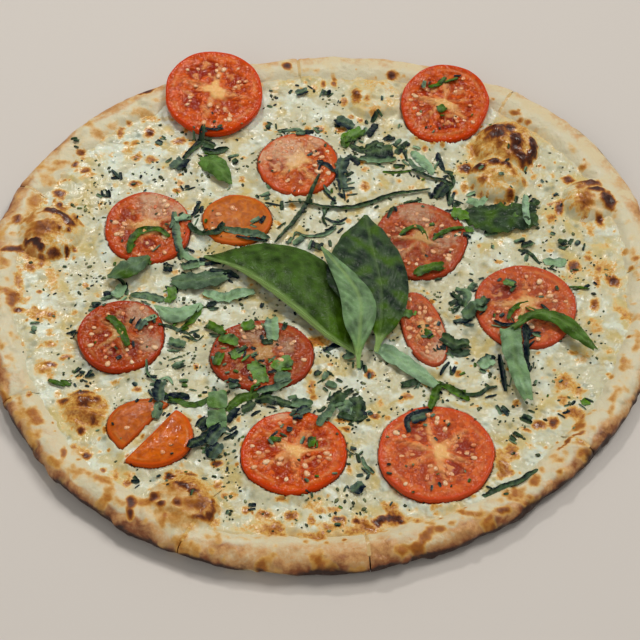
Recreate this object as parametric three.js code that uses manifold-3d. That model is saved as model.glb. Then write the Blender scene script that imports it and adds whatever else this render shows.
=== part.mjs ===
// A 14 inch cheese pizza with tomato slices and basil, cut into eight slices that stay together.
// Millimetres, +Z up. The origin is on the underside, at the middle of the outline.
import * as THREE from 'three';
import { mergeVertices } from 'three/addons/utils/BufferGeometryUtils.js';
import Module from 'manifold-3d';

const wasm = await Module();
wasm.setup();

// ---- Driving dimensions ----

const PIZZA_RADIUS = 178;
const FLOOR = 5; // thickness of the dough under the cheese
const CROWN = 12.2; // mean height of the rim
const RIM_WIDTH = 28; // from the outer edge to the flat floor
const CROWN_INSET = 10; // from the outer edge to the top of the rim
const SLOPE_EASE = 0.42; // share of the rim's inner slope that bends at each of its ends
const EDGE_HEIGHT = 5; // the widest line of the rim
const FOOT_INSET = 11; // where the rim's curve meets the flat underside
const FOOT_BEND = new THREE.Vector2(1.5, 0.3); // inset and height of that curve's corner
const CHEESE_TOP = 8;
const CHEESE_SLOPE_TOP = 8.7; // where the rim's inner slope begins
const CHEESE_EDGE_TOP = 9.2; // the cheese climbs a little on that slope
const CHEESE_RISE_INSET = 45; // where the cheese begins to climb towards the rim
const CHEESE_EDGE_INSET = 13; // inside the rim, so the slope itself trims the cheese
const CHEESE_SUNK = 1.5; // below the dough's floor, before the dough trims the cheese
const GAP = 0.3; // between pieces that touch

const AROUND = 56; // facets round the dough and the cheese
const CURVE_STEPS = 3; // facets along each curve of the rim's section

// The hand-shaped outline and rim: waves round the edge, each with its size and the angle of a peak.
const OUTLINE_WAVES = [
  { lobes: 1, size: 2, peak: 90 },
  { lobes: 2, size: 4.25, peak: 19 },
  { lobes: 3, size: 2.62, peak: 27 },
  { lobes: 4, size: 0.79, peak: 52.5 },
];
const CROWN_WAVES = [
  { lobes: 1, size: 0.8, peak: 250 },
  { lobes: 3, size: 0.5, peak: 20 },
  { lobes: 7, size: 0.4, peak: 33 },
];

// Four straight cuts through one point make eight slices.
const CUT_WIDTH = 0.7;
const CUT_CENTRE = new THREE.Vector2(8, -30);
const CUT_ANGLES = [14.5, 59.6, 96.2, 149.7];
const PRISM_REACH = 420; // each slice's prism passes well beyond the outline,
const PRISM_HEIGHT = 60; // and well above
const PRISM_FOOT = -15; // and below the pizza

// Baked bubbles: centre, radius and height above the floor.
const CRUST_BUBBLES = [
  { x: 146, y: 61, radius: 16, height: 9.5 },
  { x: -147, y: 38, radius: 20, height: 10.5 },
  { x: -68, y: -137, radius: 20, height: 10 },
];
const CHEESE_BUBBLES = [
  { x: 104, y: 101, radius: 19, height: 12 },
  { x: 97, y: 77, radius: 17, height: 10 },
  { x: 31, y: 138, radius: 18, height: 6.5 },
  { x: -120, y: -80, radius: 14, height: 6.5 },
];
const BUBBLE_SUNK = 1; // the foot of a bubble's dome below the floor
const BUBBLE_FACETS = 12;
const BUBBLE_STEPS = 4;

// Tomato slices: centre, size across and along, the turn of their long side, and the lean that
// brings one side up. A slice has some cheese under it, or lies straight on the rim.
const TOMATO_THICKNESS = 5;
const TOMATO_FACETS = 16;
const SKIN_ROUND = 1.4;
const CHEESE_UNDER_TOMATO = 1.5;
const TOMATO_SLICES = [
  { x: -61, y: 138, width: 56, depth: 61, turn: 10, lean: { degrees: 5, toward: 112 }, under: GAP },
  { x: 70, y: 131, width: 51, depth: 57, turn: -8, lean: { degrees: 6, toward: 62 }, under: GAP },
  { x: -13, y: 87, width: 45, depth: 46 },
  { x: -94, y: 40, width: 47, depth: 50, turn: 20, lean: { degrees: 1.5, toward: 90 } },
  { x: -46, y: 46, width: 38, depth: 36 },
  { x: 53, y: 31, width: 51, depth: 54 },
  { x: 107, y: -14, width: 54, depth: 56, lean: { degrees: 1, toward: 0 } },
  { x: -104, y: -34, width: 46, depth: 47, lean: { degrees: 2, toward: 180 } },
  { x: -31, y: -46, width: 54, depth: 46 },
  { x: -14, y: -107, width: 53, depth: 51, lean: { degrees: 1, toward: 270 } },
  { x: 57, y: -108, width: 59, depth: 59, lean: { degrees: 2, toward: 270 } },
  { x: 53, y: -29, width: 22, depth: 50, turn: 14 },
];

// Half slices that lie side by side, each cut straight across on the side that faces its flat angle.
const TOMATO_WEDGES = [
  { x: -88, y: -91, width: 40, depth: 34, flat: 322 },
  { x: -86, y: -97, width: 44, depth: 38, flat: 142, under: 2.7 },
];
const WEDGE_SEAM = 0.2; // from the straight side to the middle of the whole slice

// Basil: a spine from the stem to the tip, the widest reach to its left and right, how far the two
// halves drop at their edges, and how blunt the ends are (0 pointed, 1 square). A torn piece
// reaches and drops the same way on both sides.
const LEAF_THICKNESS = 0.7;
const STEM_HALF_WIDTH = 1;
const BASIL_LEAVES = [
  {
    spine: [[18, -44, 0], [4, -34, 3], [-20, -11, 7], [-41, 8, 5], [-63, 21, 0]],
    reach: { left: 2.4, right: 34 },
    drop: { left: 1.5, right: 5.5 },
  },
  {
    spine: [[28, -46, 0], [31, -28, 3], [31, -5, 5], [27, 20, 5], [24, 45, 2]],
    reach: { left: 27, right: 15 },
    drop: { left: 3, right: 3 },
  },
  {
    spine: [[19, -56, 0], [19, -46, 3], [20, -33, 6], [20, -18, 8], [14, -3, 8], [0, 20, 6]],
    reach: { left: 9.5, right: 8 },
    drop: { left: 2, right: 2.5 },
  },
];
const LEAF_FACETS = { along: 10, across: 4 };
const BASIL_PIECES = [
  { spine: [[79, 50, 0], [98, 47, 2], [117, 51, 0]], reach: 10, drop: 1.5, blunt: 0.7 },
  { spine: [[98, -30, 0], [99, -50, 2], [105, -77, 0]], reach: 7, drop: 1, blunt: 0.45 },
  { spine: [[99, -32, 0], [111, -24, 2], [126, -28, 1], [141, -46, 0]], reach: 5, drop: 1, blunt: 0.3 },
  { spine: [[30, -40, 0], [44, -52, 1], [59, -65, 0]], reach: 5, drop: 0.5, blunt: 0.6 },
  { spine: [[-67, 91, 0], [-59, 86, 3], [-50, 73, 0]], reach: 6.5, drop: 2, blunt: 0.3 },
  { spine: [[-53, -68, 0], [-53, -73, 0.5], [-53, -79, 0]], reach: 5, drop: 0.4, blunt: 0.9 },
  { spine: [[-53, -82, 0], [-53, -87, 0.5], [-53, -92, 0]], reach: 5, drop: 0.4, blunt: 0.9 },
  { spine: [[-88, -13, 0], [-77, -20, 2], [-63, -12, 0]], reach: 4.5, drop: 1, blunt: 0.2 },
  { spine: [[-80, 4, 0], [-66, 3, 2], [-50, 8, 0]], reach: 5.5, drop: 1, blunt: 0.4 },
  { spine: [[-113, 4, 0], [-102, 9, 2], [-92, 17, 0]], reach: 5.5, drop: 1, blunt: 0.3 },
];
const PIECE_FACETS = { along: 4, across: 2 };
const PLUMPNESS = 0.85; // below 1, a blade widens sooner behind its tip

const doughFinish = { color: 0xdcb98c, roughness: 0.85, metalness: 0 };
const cheeseFinish = { color: 0xe6dfc0, roughness: 0.5, metalness: 0 };
const tomatoFinish = { color: 0xc8432a, roughness: 0.35, metalness: 0 };
const basilFinish = { color: 0x3f6b2c, roughness: 0.55, metalness: 0 };

const REST_RAY_TOP = 100; // above every piece
const REST_SAMPLES = 4; // points along each side of a face, when one piece is rested on others

const pizza = new THREE.Group();

// ---- Solids and meshes ----

/** A closed solid from a geometry, with its shared corners merged and empty faces dropped. */
function solidOf(geometry) {
  const bare = geometry.clone();
  bare.deleteAttribute('normal');
  bare.deleteAttribute('uv');
  const merged = mergeVertices(bare);
  const corners = merged.index.array;
  const faces = [];
  for (let i = 0; i < corners.length; i += 3) {
    const [a, b, c] = corners.slice(i, i + 3);
    if (a !== b && b !== c && c !== a) faces.push(a, b, c);
  }
  return new wasm.Manifold(new wasm.Mesh({
    numProp: 3,
    vertProperties: new Float32Array(merged.attributes.position.array),
    triVerts: new Uint32Array(faces),
  }));
}

/** The geometry of a solid. */
function geometryOf(solid) {
  const mesh = solid.getMesh();
  const geometry = new THREE.BufferGeometry();
  geometry.setAttribute('position', new THREE.BufferAttribute(mesh.vertProperties, mesh.numProp));
  geometry.setIndex(new THREE.BufferAttribute(mesh.triVerts, 1));
  return geometry;
}

/** Adds a named mesh to the pizza. */
function addPiece(name, geometry, finish) {
  const mesh = new THREE.Mesh(geometry, new THREE.MeshStandardMaterial(finish));
  mesh.name = name;
  pizza.add(mesh);
}

/** Moves every corner of a geometry to where the function says. */
function reshape(geometry, move) {
  const place = geometry.attributes.position;
  const corner = new THREE.Vector3();
  for (let i = 0; i < place.count; i += 1) {
    corner.fromBufferAttribute(place, i);
    move(corner);
    place.setXYZ(i, corner.x, corner.y, corner.z);
  }
  return geometry;
}

/** A solid of revolution about +Z from a section whose x is the radius and y the height. */
function turned(section, facets) {
  return new THREE.LatheGeometry(section, facets).rotateX(Math.PI / 2);
}

// ---- Dough and cheese ----

/** The sum of a set of waves at an angle round the pizza. */
function waves(list, angle) {
  return list.reduce((sum, wave) => {
    const turn = angle - THREE.MathUtils.degToRad(wave.peak);
    return sum + wave.size * Math.cos(wave.lobes * turn);
  }, 0);
}

/** Bends a round body into the hand-shaped outline, and the rim up and down along it. */
function handShape(corner) {
  const radius = Math.hypot(corner.x, corner.y);
  if (radius === 0) return;
  const angle = Math.atan2(corner.y, corner.x);
  const stretch = 1 + (waves(OUTLINE_WAVES, angle) * radius) / (PIZZA_RADIUS * PIZZA_RADIUS);
  const inset = (PIZZA_RADIUS - radius - CROWN_INSET) / (RIM_WIDTH / 2);
  const share = Math.min(corner.z / FLOOR, 1) * Math.exp(-inset * inset);
  corner.x *= stretch;
  corner.y *= stretch;
  corner.z += waves(CROWN_WAVES, angle) * share;
}

/** A domed bubble that stands on the dough's floor, grown outward by the clearance. */
function bubble({ x, y, radius, height }, clearance) {
  const dome = new THREE.Path();
  dome.moveTo(0, 0);
  dome.lineTo(radius + clearance, 0);
  dome.absellipse(0, 0, radius + clearance, height + clearance, 0, Math.PI / 2);
  const section = dome.getPoints(BUBBLE_STEPS);
  return solidOf(turned(section, BUBBLE_FACETS).translate(x, y, FLOOR - BUBBLE_SUNK));
}

/** The dough with its rim and crust bubbles, its upper side raised by the clearance. */
function doughBody(clearance) {
  const section = new THREE.Path();
  const crownX = PIZZA_RADIUS - CROWN_INSET;
  const floorX = PIZZA_RADIUS - RIM_WIDTH;
  const edgeX = PIZZA_RADIUS + clearance;
  const crown = CROWN + clearance;
  const floor = FLOOR + clearance;
  const ease = SLOPE_EASE * (crownX - floorX);
  section.moveTo(0, 0);
  section.lineTo(PIZZA_RADIUS - FOOT_INSET, 0);
  section.quadraticCurveTo(PIZZA_RADIUS - FOOT_BEND.x, FOOT_BEND.y, edgeX, EDGE_HEIGHT);
  section.quadraticCurveTo(edgeX, crown, crownX, crown);
  section.bezierCurveTo(crownX - ease, crown, floorX + ease, floor, floorX, floor);
  section.lineTo(0, floor);
  const body = solidOf(reshape(turned(section.getPoints(CURVE_STEPS), AROUND), handShape));
  return CRUST_BUBBLES.reduce((whole, spot) => whole.add(bubble(spot, clearance)), body);
}

/** The cheese layer with its bubbles, trimmed below by the dough. */
function cheeseBody() {
  const section = new THREE.Path();
  const edgeX = PIZZA_RADIUS - CHEESE_EDGE_INSET;
  const sunk = FLOOR - CHEESE_SUNK;
  section.moveTo(0, sunk);
  section.lineTo(edgeX, sunk);
  section.lineTo(edgeX, CHEESE_EDGE_TOP);
  section.lineTo(PIZZA_RADIUS - RIM_WIDTH, CHEESE_SLOPE_TOP);
  section.lineTo(PIZZA_RADIUS - CHEESE_RISE_INSET, CHEESE_TOP);
  section.lineTo(0, CHEESE_TOP);
  const body = solidOf(reshape(turned(section.getPoints(), AROUND), handShape));
  const bubbled = CHEESE_BUBBLES.reduce((whole, spot) => whole.add(bubble(spot, 0)), body);
  return bubbled.subtract(doughBody(GAP));
}

/** The upright prism of one slice, narrower by half a cut on each side. */
function slicePrism(fromAngle, toAngle) {
  const from = THREE.MathUtils.degToRad(fromAngle);
  const to = THREE.MathUtils.degToRad(toAngle);
  const middle = (from + to) / 2;
  const setBack = CUT_WIDTH / 2 / Math.sin((to - from) / 2);
  const apex = new THREE.Vector2(Math.cos(middle), Math.sin(middle))
    .multiplyScalar(setBack)
    .add(CUT_CENTRE);
  const outline = new THREE.Shape();
  outline.moveTo(apex.x, apex.y);
  for (const angle of [from, to]) {
    outline.lineTo(apex.x + PRISM_REACH * Math.cos(angle), apex.y + PRISM_REACH * Math.sin(angle));
  }
  const prism = new THREE.ExtrudeGeometry(outline, { depth: PRISM_HEIGHT, bevelEnabled: false });
  return solidOf(prism.translate(0, 0, PRISM_FOOT));
}

// ---- Resting one piece on others ----

/** Points on a geometry's faces: the corners, and points between them. */
function facePoints(geometry) {
  const flat = geometry.index ? geometry.toNonIndexed() : geometry;
  const place = flat.attributes.position;
  const points = [];
  for (let i = 0; i < place.count; i += 3) {
    const [a, b, c] = [0, 1, 2].map((k) => new THREE.Vector3().fromBufferAttribute(place, i + k));
    for (let p = 0; p <= REST_SAMPLES; p += 1) {
      for (let q = 0; q <= REST_SAMPLES - p; q += 1) {
        const point = a.clone().multiplyScalar(REST_SAMPLES - p - q);
        point.addScaledVector(b, p).addScaledVector(c, q);
        points.push(point.divideScalar(REST_SAMPLES));
      }
    }
  }
  return points;
}

/** How far a geometry moves up until it just touches the pieces below it. */
function liftOver(geometry, below) {
  const down = new THREE.Vector3(0, 0, -1);
  const ray = new THREE.Raycaster();
  let lift = -Infinity;
  for (const point of facePoints(geometry)) {
    ray.set(new THREE.Vector3(point.x, point.y, REST_RAY_TOP), down);
    const hit = ray.intersectObjects(below, false)[0];
    if (hit) lift = Math.max(lift, hit.point.z - point.z);
  }
  return lift;
}

// ---- Tomatoes ----

/** A round-edged tomato slice lying flat, its skin grown outward by the clearance. */
function tomatoDisc({ width, depth, turn = 0 }, clearance) {
  const radius = width / 2 + clearance;
  const half = TOMATO_THICKNESS / 2 + clearance;
  const section = new THREE.Path();
  section.moveTo(0, -half);
  section.lineTo(radius - SKIN_ROUND, -half);
  section.lineTo(radius, 0);
  section.lineTo(radius - SKIN_ROUND, half);
  section.lineTo(0, half);
  const disc = turned(section.getPoints(), TOMATO_FACETS);
  disc.scale(1, (depth / 2 + clearance) / radius, 1);
  return disc.rotateZ(THREE.MathUtils.degToRad(turn));
}

/** Leans a lying slice so that its side towards an angle comes up. */
function leaned(geometry, { degrees, toward }) {
  const heading = THREE.MathUtils.degToRad(toward);
  const axis = new THREE.Vector3(Math.sin(heading), -Math.cos(heading), 0);
  const turn = new THREE.Matrix4().makeRotationAxis(axis, THREE.MathUtils.degToRad(degrees));
  return geometry.applyMatrix4(turn);
}

/** The half of a slice that lies away from its straight side, which faces the flat angle. */
function halfSlice(geometry, flat, clearance) {
  const block = new THREE.BoxGeometry(PIZZA_RADIUS, PIZZA_RADIUS, PIZZA_RADIUS);
  block.translate(clearance - WEDGE_SEAM - PIZZA_RADIUS / 2, 0, 0);
  block.rotateZ(THREE.MathUtils.degToRad(flat));
  return geometryOf(solidOf(geometry).intersect(solidOf(block)));
}

/** A tomato's own shape at rest on the dough, and the pocket that it leaves in the cheese. */
function tomatoShapes(slice, doughPieces) {
  const [shape, pocket] = [0, GAP].map((clearance) => {
    const disc = tomatoDisc(slice, clearance);
    const cut = slice.flat === undefined ? disc : halfSlice(disc, slice.flat, clearance);
    const turnedUp = slice.lean ? leaned(cut, slice.lean) : cut;
    return turnedUp.translate(slice.x, slice.y, 0);
  });
  const lift = liftOver(shape, doughPieces) + (slice.under ?? CHEESE_UNDER_TOMATO);
  return { shape: shape.translate(0, 0, lift), pocket: pocket.translate(0, 0, lift) };
}

// ---- Basil ----

/** A thin curved leaf or torn piece along its spine. */
function basilBlade({ spine, reach, drop, blunt = 0 }, facets) {
  const line = new THREE.CatmullRomCurve3(spine.map((point) => new THREE.Vector3(...point)));
  const sheet = new THREE.BoxGeometry(1, 1, 1, facets.along, facets.across, 1);
  return reshape(sheet, (corner) => {
    const along = corner.x + 0.5;
    const across = 2 * corner.y;
    const layer = corner.z + 0.5;
    const side = across > 0 ? 'left' : 'right';
    const bulge = Math.pow(Math.sin(Math.PI * along), PLUMPNESS);
    const spread = blunt + (1 - blunt) * bulge;
    const shift = across * Math.max((reach[side] ?? reach) * spread, STEM_HALF_WIDTH);
    const fall = (drop[side] ?? drop) * spread * across * across;
    const point = line.getPoint(along);
    const heading = line.getTangent(along).setZ(0).normalize();
    corner.x = point.x - heading.y * shift;
    corner.y = point.y + heading.x * shift;
    corner.z = point.z - fall + layer * LEAF_THICKNESS;
  });
}

// ---- Assembly ----

const dough = doughBody(0);
const wholeDough = new THREE.Mesh(geometryOf(dough));
wholeDough.updateMatrixWorld();

const tomatoes = [
  ...TOMATO_SLICES.map((slice, i) => ({ name: `tomato_slice_${i + 1}`, slice })),
  ...TOMATO_WEDGES.map((slice, i) => ({ name: `tomato_wedge_${i + 1}`, slice })),
];
let cheese = cheeseBody();
for (const { name, slice } of tomatoes) {
  const { shape, pocket } = tomatoShapes(slice, [wholeDough]);
  cheese = cheese.subtract(solidOf(pocket));
  addPiece(name, shape, tomatoFinish);
}

const cutEnds = [...CUT_ANGLES, ...CUT_ANGLES.map((angle) => angle + 180), CUT_ANGLES[0] + 360];
for (let i = 0; i + 1 < cutEnds.length; i += 1) {
  const prism = slicePrism(cutEnds[i], cutEnds[i + 1]);
  addPiece(`dough_slice_${i + 1}`, geometryOf(dough.intersect(prism)), doughFinish);
  addPiece(`cheese_slice_${i + 1}`, geometryOf(cheese.intersect(prism)), cheeseFinish);
}

const basil = [
  ...BASIL_PIECES.map((blade, i) => ({ name: `basil_piece_${i + 1}`, blade, facets: PIECE_FACETS })),
  ...BASIL_LEAVES.map((blade, i) => ({ name: `basil_leaf_${i + 1}`, blade, facets: LEAF_FACETS })),
];
for (const { name, blade, facets } of basil) {
  pizza.updateMatrixWorld(true);
  const shape = basilBlade(blade, facets);
  addPiece(name, shape.translate(0, 0, liftOver(shape, pizza.children) + GAP), basilFinish);
}

export default pizza;
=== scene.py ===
"""The looks of a 14 inch cheese pizza with tomato slices and basil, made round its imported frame.

Lengths are millimetres, as in the part's own source. A mesh turns them into metres when it is made.
The pizza lies on z = 0 and the origin is on its underside, at the middle of the outline. Angles in
tables are degrees. Where a docstring names x and y, x runs across and y away from the front.
"""

import itertools
import logging
import math
from dataclasses import dataclass, field
from enum import Enum
from typing import Sequence

import bpy
import numpy as np
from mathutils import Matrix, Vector


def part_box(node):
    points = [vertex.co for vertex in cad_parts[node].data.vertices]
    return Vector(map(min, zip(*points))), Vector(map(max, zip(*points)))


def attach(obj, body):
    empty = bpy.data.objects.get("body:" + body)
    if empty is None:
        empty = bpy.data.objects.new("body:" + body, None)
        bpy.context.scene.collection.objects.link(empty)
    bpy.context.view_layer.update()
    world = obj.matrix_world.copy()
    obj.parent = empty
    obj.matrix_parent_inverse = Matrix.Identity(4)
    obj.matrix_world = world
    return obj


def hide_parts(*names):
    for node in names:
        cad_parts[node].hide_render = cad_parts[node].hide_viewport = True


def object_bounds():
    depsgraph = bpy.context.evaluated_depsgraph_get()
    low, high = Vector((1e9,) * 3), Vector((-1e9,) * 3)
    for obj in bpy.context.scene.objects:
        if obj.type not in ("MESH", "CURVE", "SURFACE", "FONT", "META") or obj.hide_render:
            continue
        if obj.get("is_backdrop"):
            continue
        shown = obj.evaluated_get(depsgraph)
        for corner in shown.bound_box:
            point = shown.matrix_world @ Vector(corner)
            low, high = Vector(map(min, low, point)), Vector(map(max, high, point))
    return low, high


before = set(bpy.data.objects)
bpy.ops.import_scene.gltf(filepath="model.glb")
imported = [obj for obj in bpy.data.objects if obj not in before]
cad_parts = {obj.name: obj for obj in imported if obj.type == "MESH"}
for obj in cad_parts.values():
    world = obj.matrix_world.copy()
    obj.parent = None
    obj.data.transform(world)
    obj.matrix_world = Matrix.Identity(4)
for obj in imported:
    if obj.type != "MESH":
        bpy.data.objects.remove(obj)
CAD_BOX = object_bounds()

Array = np.ndarray
Colour = tuple[float, float, float]
Point = tuple[float, float]

MM = 0.001
LOG = logging.getLogger("pizza")


# ---- Numbers ----


def smooth(low: float, high: float, value: Array) -> Array:
    """A soft step of a value, from 0 at low to 1 at high, which may be the smaller of the two."""
    share = np.clip((value - low) / (high - low), 0.0, 1.0)
    return share * share * (3.0 - 2.0 * share)


def soft_max(a: Array, b: Array, blend: float) -> Array:
    """The larger of two heights, with a fillet where they are less than a blend apart."""
    share = np.clip(0.5 + 0.5 * (a - b) / blend, 0.0, 1.0)
    return b + (a - b) * share + blend * share * (1.0 - share)


def srgb(*screen: int) -> Colour:
    """A linear colour from its red, green and blue on a screen, 0 to 255."""
    shares = (value / 255.0 for value in screen)
    return tuple(s / 12.92 if s <= 0.04045 else ((s + 0.055) / 1.055) ** 2.4 for s in shares)


def heading(degrees: float) -> Point:
    """The cosine and sine of an angle."""
    return math.cos(math.radians(degrees)), math.sin(math.radians(degrees))


def turned(x: Array, y: Array, way: tuple[Array, Array]) -> tuple[Array, Array]:
    """Places turned about the origin, by an angle given as its cosine and sine."""
    return x * way[0] - y * way[1], x * way[1] + y * way[0]


def points_at(x: Array, y: Array, z: Array | float) -> Array:
    """Points from their coordinates, of which any may be one number for all."""
    return np.stack(np.broadcast_arrays(x, y, z), -1)


def apart(angle: Array, middle: float) -> Array:
    """How far angles are from a middle one, in radians and either way round."""
    return np.abs((angle - middle + math.pi) % math.tau - math.pi)


class Noise:
    """Smooth seeded noise over the plane or in space, about -1 to 1."""

    GAIN = 1.55
    FINER = 2.03
    FADE = 0.5

    def __init__(self, seed: int) -> None:
        """Deals the table of directions.

        Args:
            seed: The table's seed.
        """
        rng = np.random.default_rng(seed)
        order = rng.permutation(256)
        self.order = np.concatenate([order, order])
        heads = rng.normal(size=(256, 3))
        self.heads = (heads / np.linalg.norm(heads, axis=1, keepdims=True)).astype(np.float32)

    def at(self, size: float, *place: Array) -> Array:
        """The noise at some places.

        Args:
            size: The distance from one swell to the next.
            place: Two or three coordinates.

        Returns:
            One value for each place.
        """
        spot = [np.asarray(part, np.float32) / np.float32(size) for part in place]
        cell = [np.floor(part).astype(np.int64) for part in spot]
        offset = [part - whole for part, whole in zip(spot, cell)]
        ease = [f * f * f * (f * (f * 6.0 - 15.0) + 10.0) for f in offset]
        total = np.zeros(np.broadcast(*spot).shape, np.float32)
        for corner in itertools.product((0, 1), repeat=len(spot)):
            draw = np.zeros(total.shape, np.int64)
            for whole, step in zip(cell, corner):
                draw = self.order[(draw + whole + step) & 255]
            head = self.heads[draw]
            lean = sum((f - step) * head[..., i] for i, (f, step) in enumerate(zip(offset, corner)))
            share = math.prod([e if step else 1.0 - e for e, step in zip(ease, corner)])
            total += share * lean
        return total * self.GAIN

    def layers(self, size: float, count: int, *place: Array) -> Array:
        """The noise at some places with finer and weaker noise on it, in so many layers."""
        return sum(self.at(size / self.FINER ** k, *place) * self.FADE ** k for k in range(count))


# ---- The pizza's form ----


@dataclass(frozen=True)
class Wave:
    """A wave round the edge: its lobes, its size, and the angle of a peak."""

    lobes: int
    size: float
    peak: float

    def at(self, angle: Array) -> Array:
        """The wave's height at angles in radians."""
        return self.size * np.cos(self.lobes * (angle - math.radians(self.peak)))


@dataclass(frozen=True)
class Dome:
    """A baked bubble: centre, radius, height over the foot that all domes share, and how brown it is."""

    x: float
    y: float
    radius: float
    height: float
    brown: float

    def away(self, x: Array, y: Array) -> Array:
        """How far places are from the centre, in radii."""
        return np.hypot(x - self.x, y - self.y) / self.radius


@dataclass(frozen=True)
class Form:
    """The dough and the cheese as the frame has them: section, outline, cuts and bubbles."""

    radius: float = 178.0
    floor: float = 5.0
    crown: float = 12.2
    rim_width: float = 28.0
    crown_inset: float = 10.0
    slope_ease: float = 0.42
    edge_height: float = 5.0
    foot_inset: float = 11.0
    foot_bend: Point = (1.5, 0.3)
    outline_waves: tuple[Wave, ...] = (
        Wave(1, 2.0, 90.0), Wave(2, 4.25, 19.0), Wave(3, 2.62, 27.0), Wave(4, 0.79, 52.5))
    crown_waves: tuple[Wave, ...] = (Wave(1, 0.8, 250.0), Wave(3, 0.5, 20.0), Wave(7, 0.4, 33.0))
    cheese_tops: tuple[Point, ...] = ((0.0, 8.0), (133.0, 8.0), (150.0, 8.7), (165.0, 9.2), (178.0, 9.2))
    cut_centre: Point = (8.0, -30.0)
    cut_angles: tuple[float, ...] = (14.5, 59.6, 96.2, 149.7)
    cut_width: float = 0.7
    dome_foot: float = 4.0
    crust_domes: tuple[Dome, ...] = (
        Dome(146, 61, 16, 9.5, 0.25), Dome(-147, 38, 20, 10.5, 0.3), Dome(-68, -137, 20, 10, 0.42))
    cheese_domes: tuple[Dome, ...] = (
        Dome(104, 101, 19, 12, 0.4), Dome(97, 77, 17, 10, 0.28), Dome(31, 138, 18, 6.5, 0.2),
        Dome(-120, -80, 14, 6.5, 0.46))

    CURVE_POINTS = 400
    NOWHERE = -9.0

    def outline(self, angle: Array) -> Array:
        """How far the edge stands off the plain circle at an angle."""
        return sum(wave.at(angle) for wave in self.outline_waves)

    def ring(self, x: Array, y: Array) -> Array:
        """The radius that places would have on a plain round pizza.

        Args:
            x: Across.
            y: Away from the front.

        Returns:
            The plain radius, which is the form's own at the edge.
        """
        away = np.hypot(x, y)
        stretch = self.outline(np.arctan2(y, x)) / self.radius ** 2
        return 2.0 * away / (1.0 + np.sqrt(np.maximum(1.0 + 4.0 * stretch * away, 0.0)))

    def upper(self) -> tuple[Array, Array]:
        """The rim's section over the top, from the floor to the widest line.

        Returns:
            Radii and heights.
        """
        share = np.linspace(0.0, 1.0, self.CURVE_POINTS)
        rest = 1.0 - share
        foot, top = self.radius - self.rim_width, self.radius - self.crown_inset
        ease = self.slope_ease * (top - foot)
        slope_r = (rest ** 3 * foot + 3 * rest ** 2 * share * (foot + ease)
                   + 3 * rest * share ** 2 * (top - ease) + share ** 3 * top)
        slope_z = self.floor + (self.crown - self.floor) * smooth(0.0, 1.0, share)
        side_r = rest ** 2 * top + (1.0 - rest ** 2) * self.radius
        side_z = (1.0 - share ** 2) * self.crown + share ** 2 * self.edge_height
        return np.concatenate([slope_r, side_r[1:]]), np.concatenate([slope_z, side_z[1:]])

    def lower(self) -> tuple[Array, Array]:
        """The rim's section below, from the widest line in to the flat underside.

        Returns:
            Radii and heights.
        """
        share = np.linspace(0.0, 1.0, self.CURVE_POINTS)
        rest = 1.0 - share
        radii = rest ** 2 * self.radius + 2 * rest * share * (self.radius - self.foot_bend[0])
        radii = radii + share ** 2 * (self.radius - self.foot_inset)
        return radii, rest ** 2 * self.edge_height + 2 * rest * share * self.foot_bend[1]

    def crown_lift(self, ring: Array, angle: Array, z: Array) -> Array:
        """How far the rim's waves lift a place.

        Args:
            ring: The plain radius.
            angle: The angle in radians.
            z: The height before.

        Returns:
            The lift.
        """
        inset = (self.radius - ring - self.crown_inset) / (self.rim_width / 2)
        share = np.minimum(z / self.floor, 1.0) * np.exp(-inset ** 2)
        return share * sum(wave.at(angle) for wave in self.crown_waves)

    def dough_top(self, x: Array, y: Array) -> Array:
        """The dough's plain upper side, without its bubbles.

        Args:
            x: Across.
            y: Away from the front.

        Returns:
            The heights.
        """
        ring = self.ring(x, y)
        z = np.interp(ring, *self.upper())
        return z + self.crown_lift(ring, np.arctan2(y, x), z)

    def dome_top(self, away: Array, dome: Dome) -> Array:
        """The height of a bubble's dome, and well below the floor outside it."""
        dome_z = self.dome_foot + dome.height * np.sqrt(np.clip(1 - away ** 2, 0, 1))
        return np.where(away < 1.0, dome_z, self.NOWHERE)

    def cut_distance(self, x: Array, y: Array) -> Array:
        """How far the nearest cut is from a place."""
        dx, dy = x - self.cut_centre[0], y - self.cut_centre[1]
        return np.min([np.abs(dx * sin - dy * cos) for cos, sin in map(heading, self.cut_angles)], axis=0)

    def slice_ends(self) -> list[tuple[float, float]]:
        """The two angles of each slice."""
        ends = [*self.cut_angles, *(a + 180.0 for a in self.cut_angles), self.cut_angles[0] + 360.0]
        return list(zip(ends[:-1], ends[1:]))


FORM = Form()
DOMES = FORM.crust_domes + FORM.cheese_domes


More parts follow.
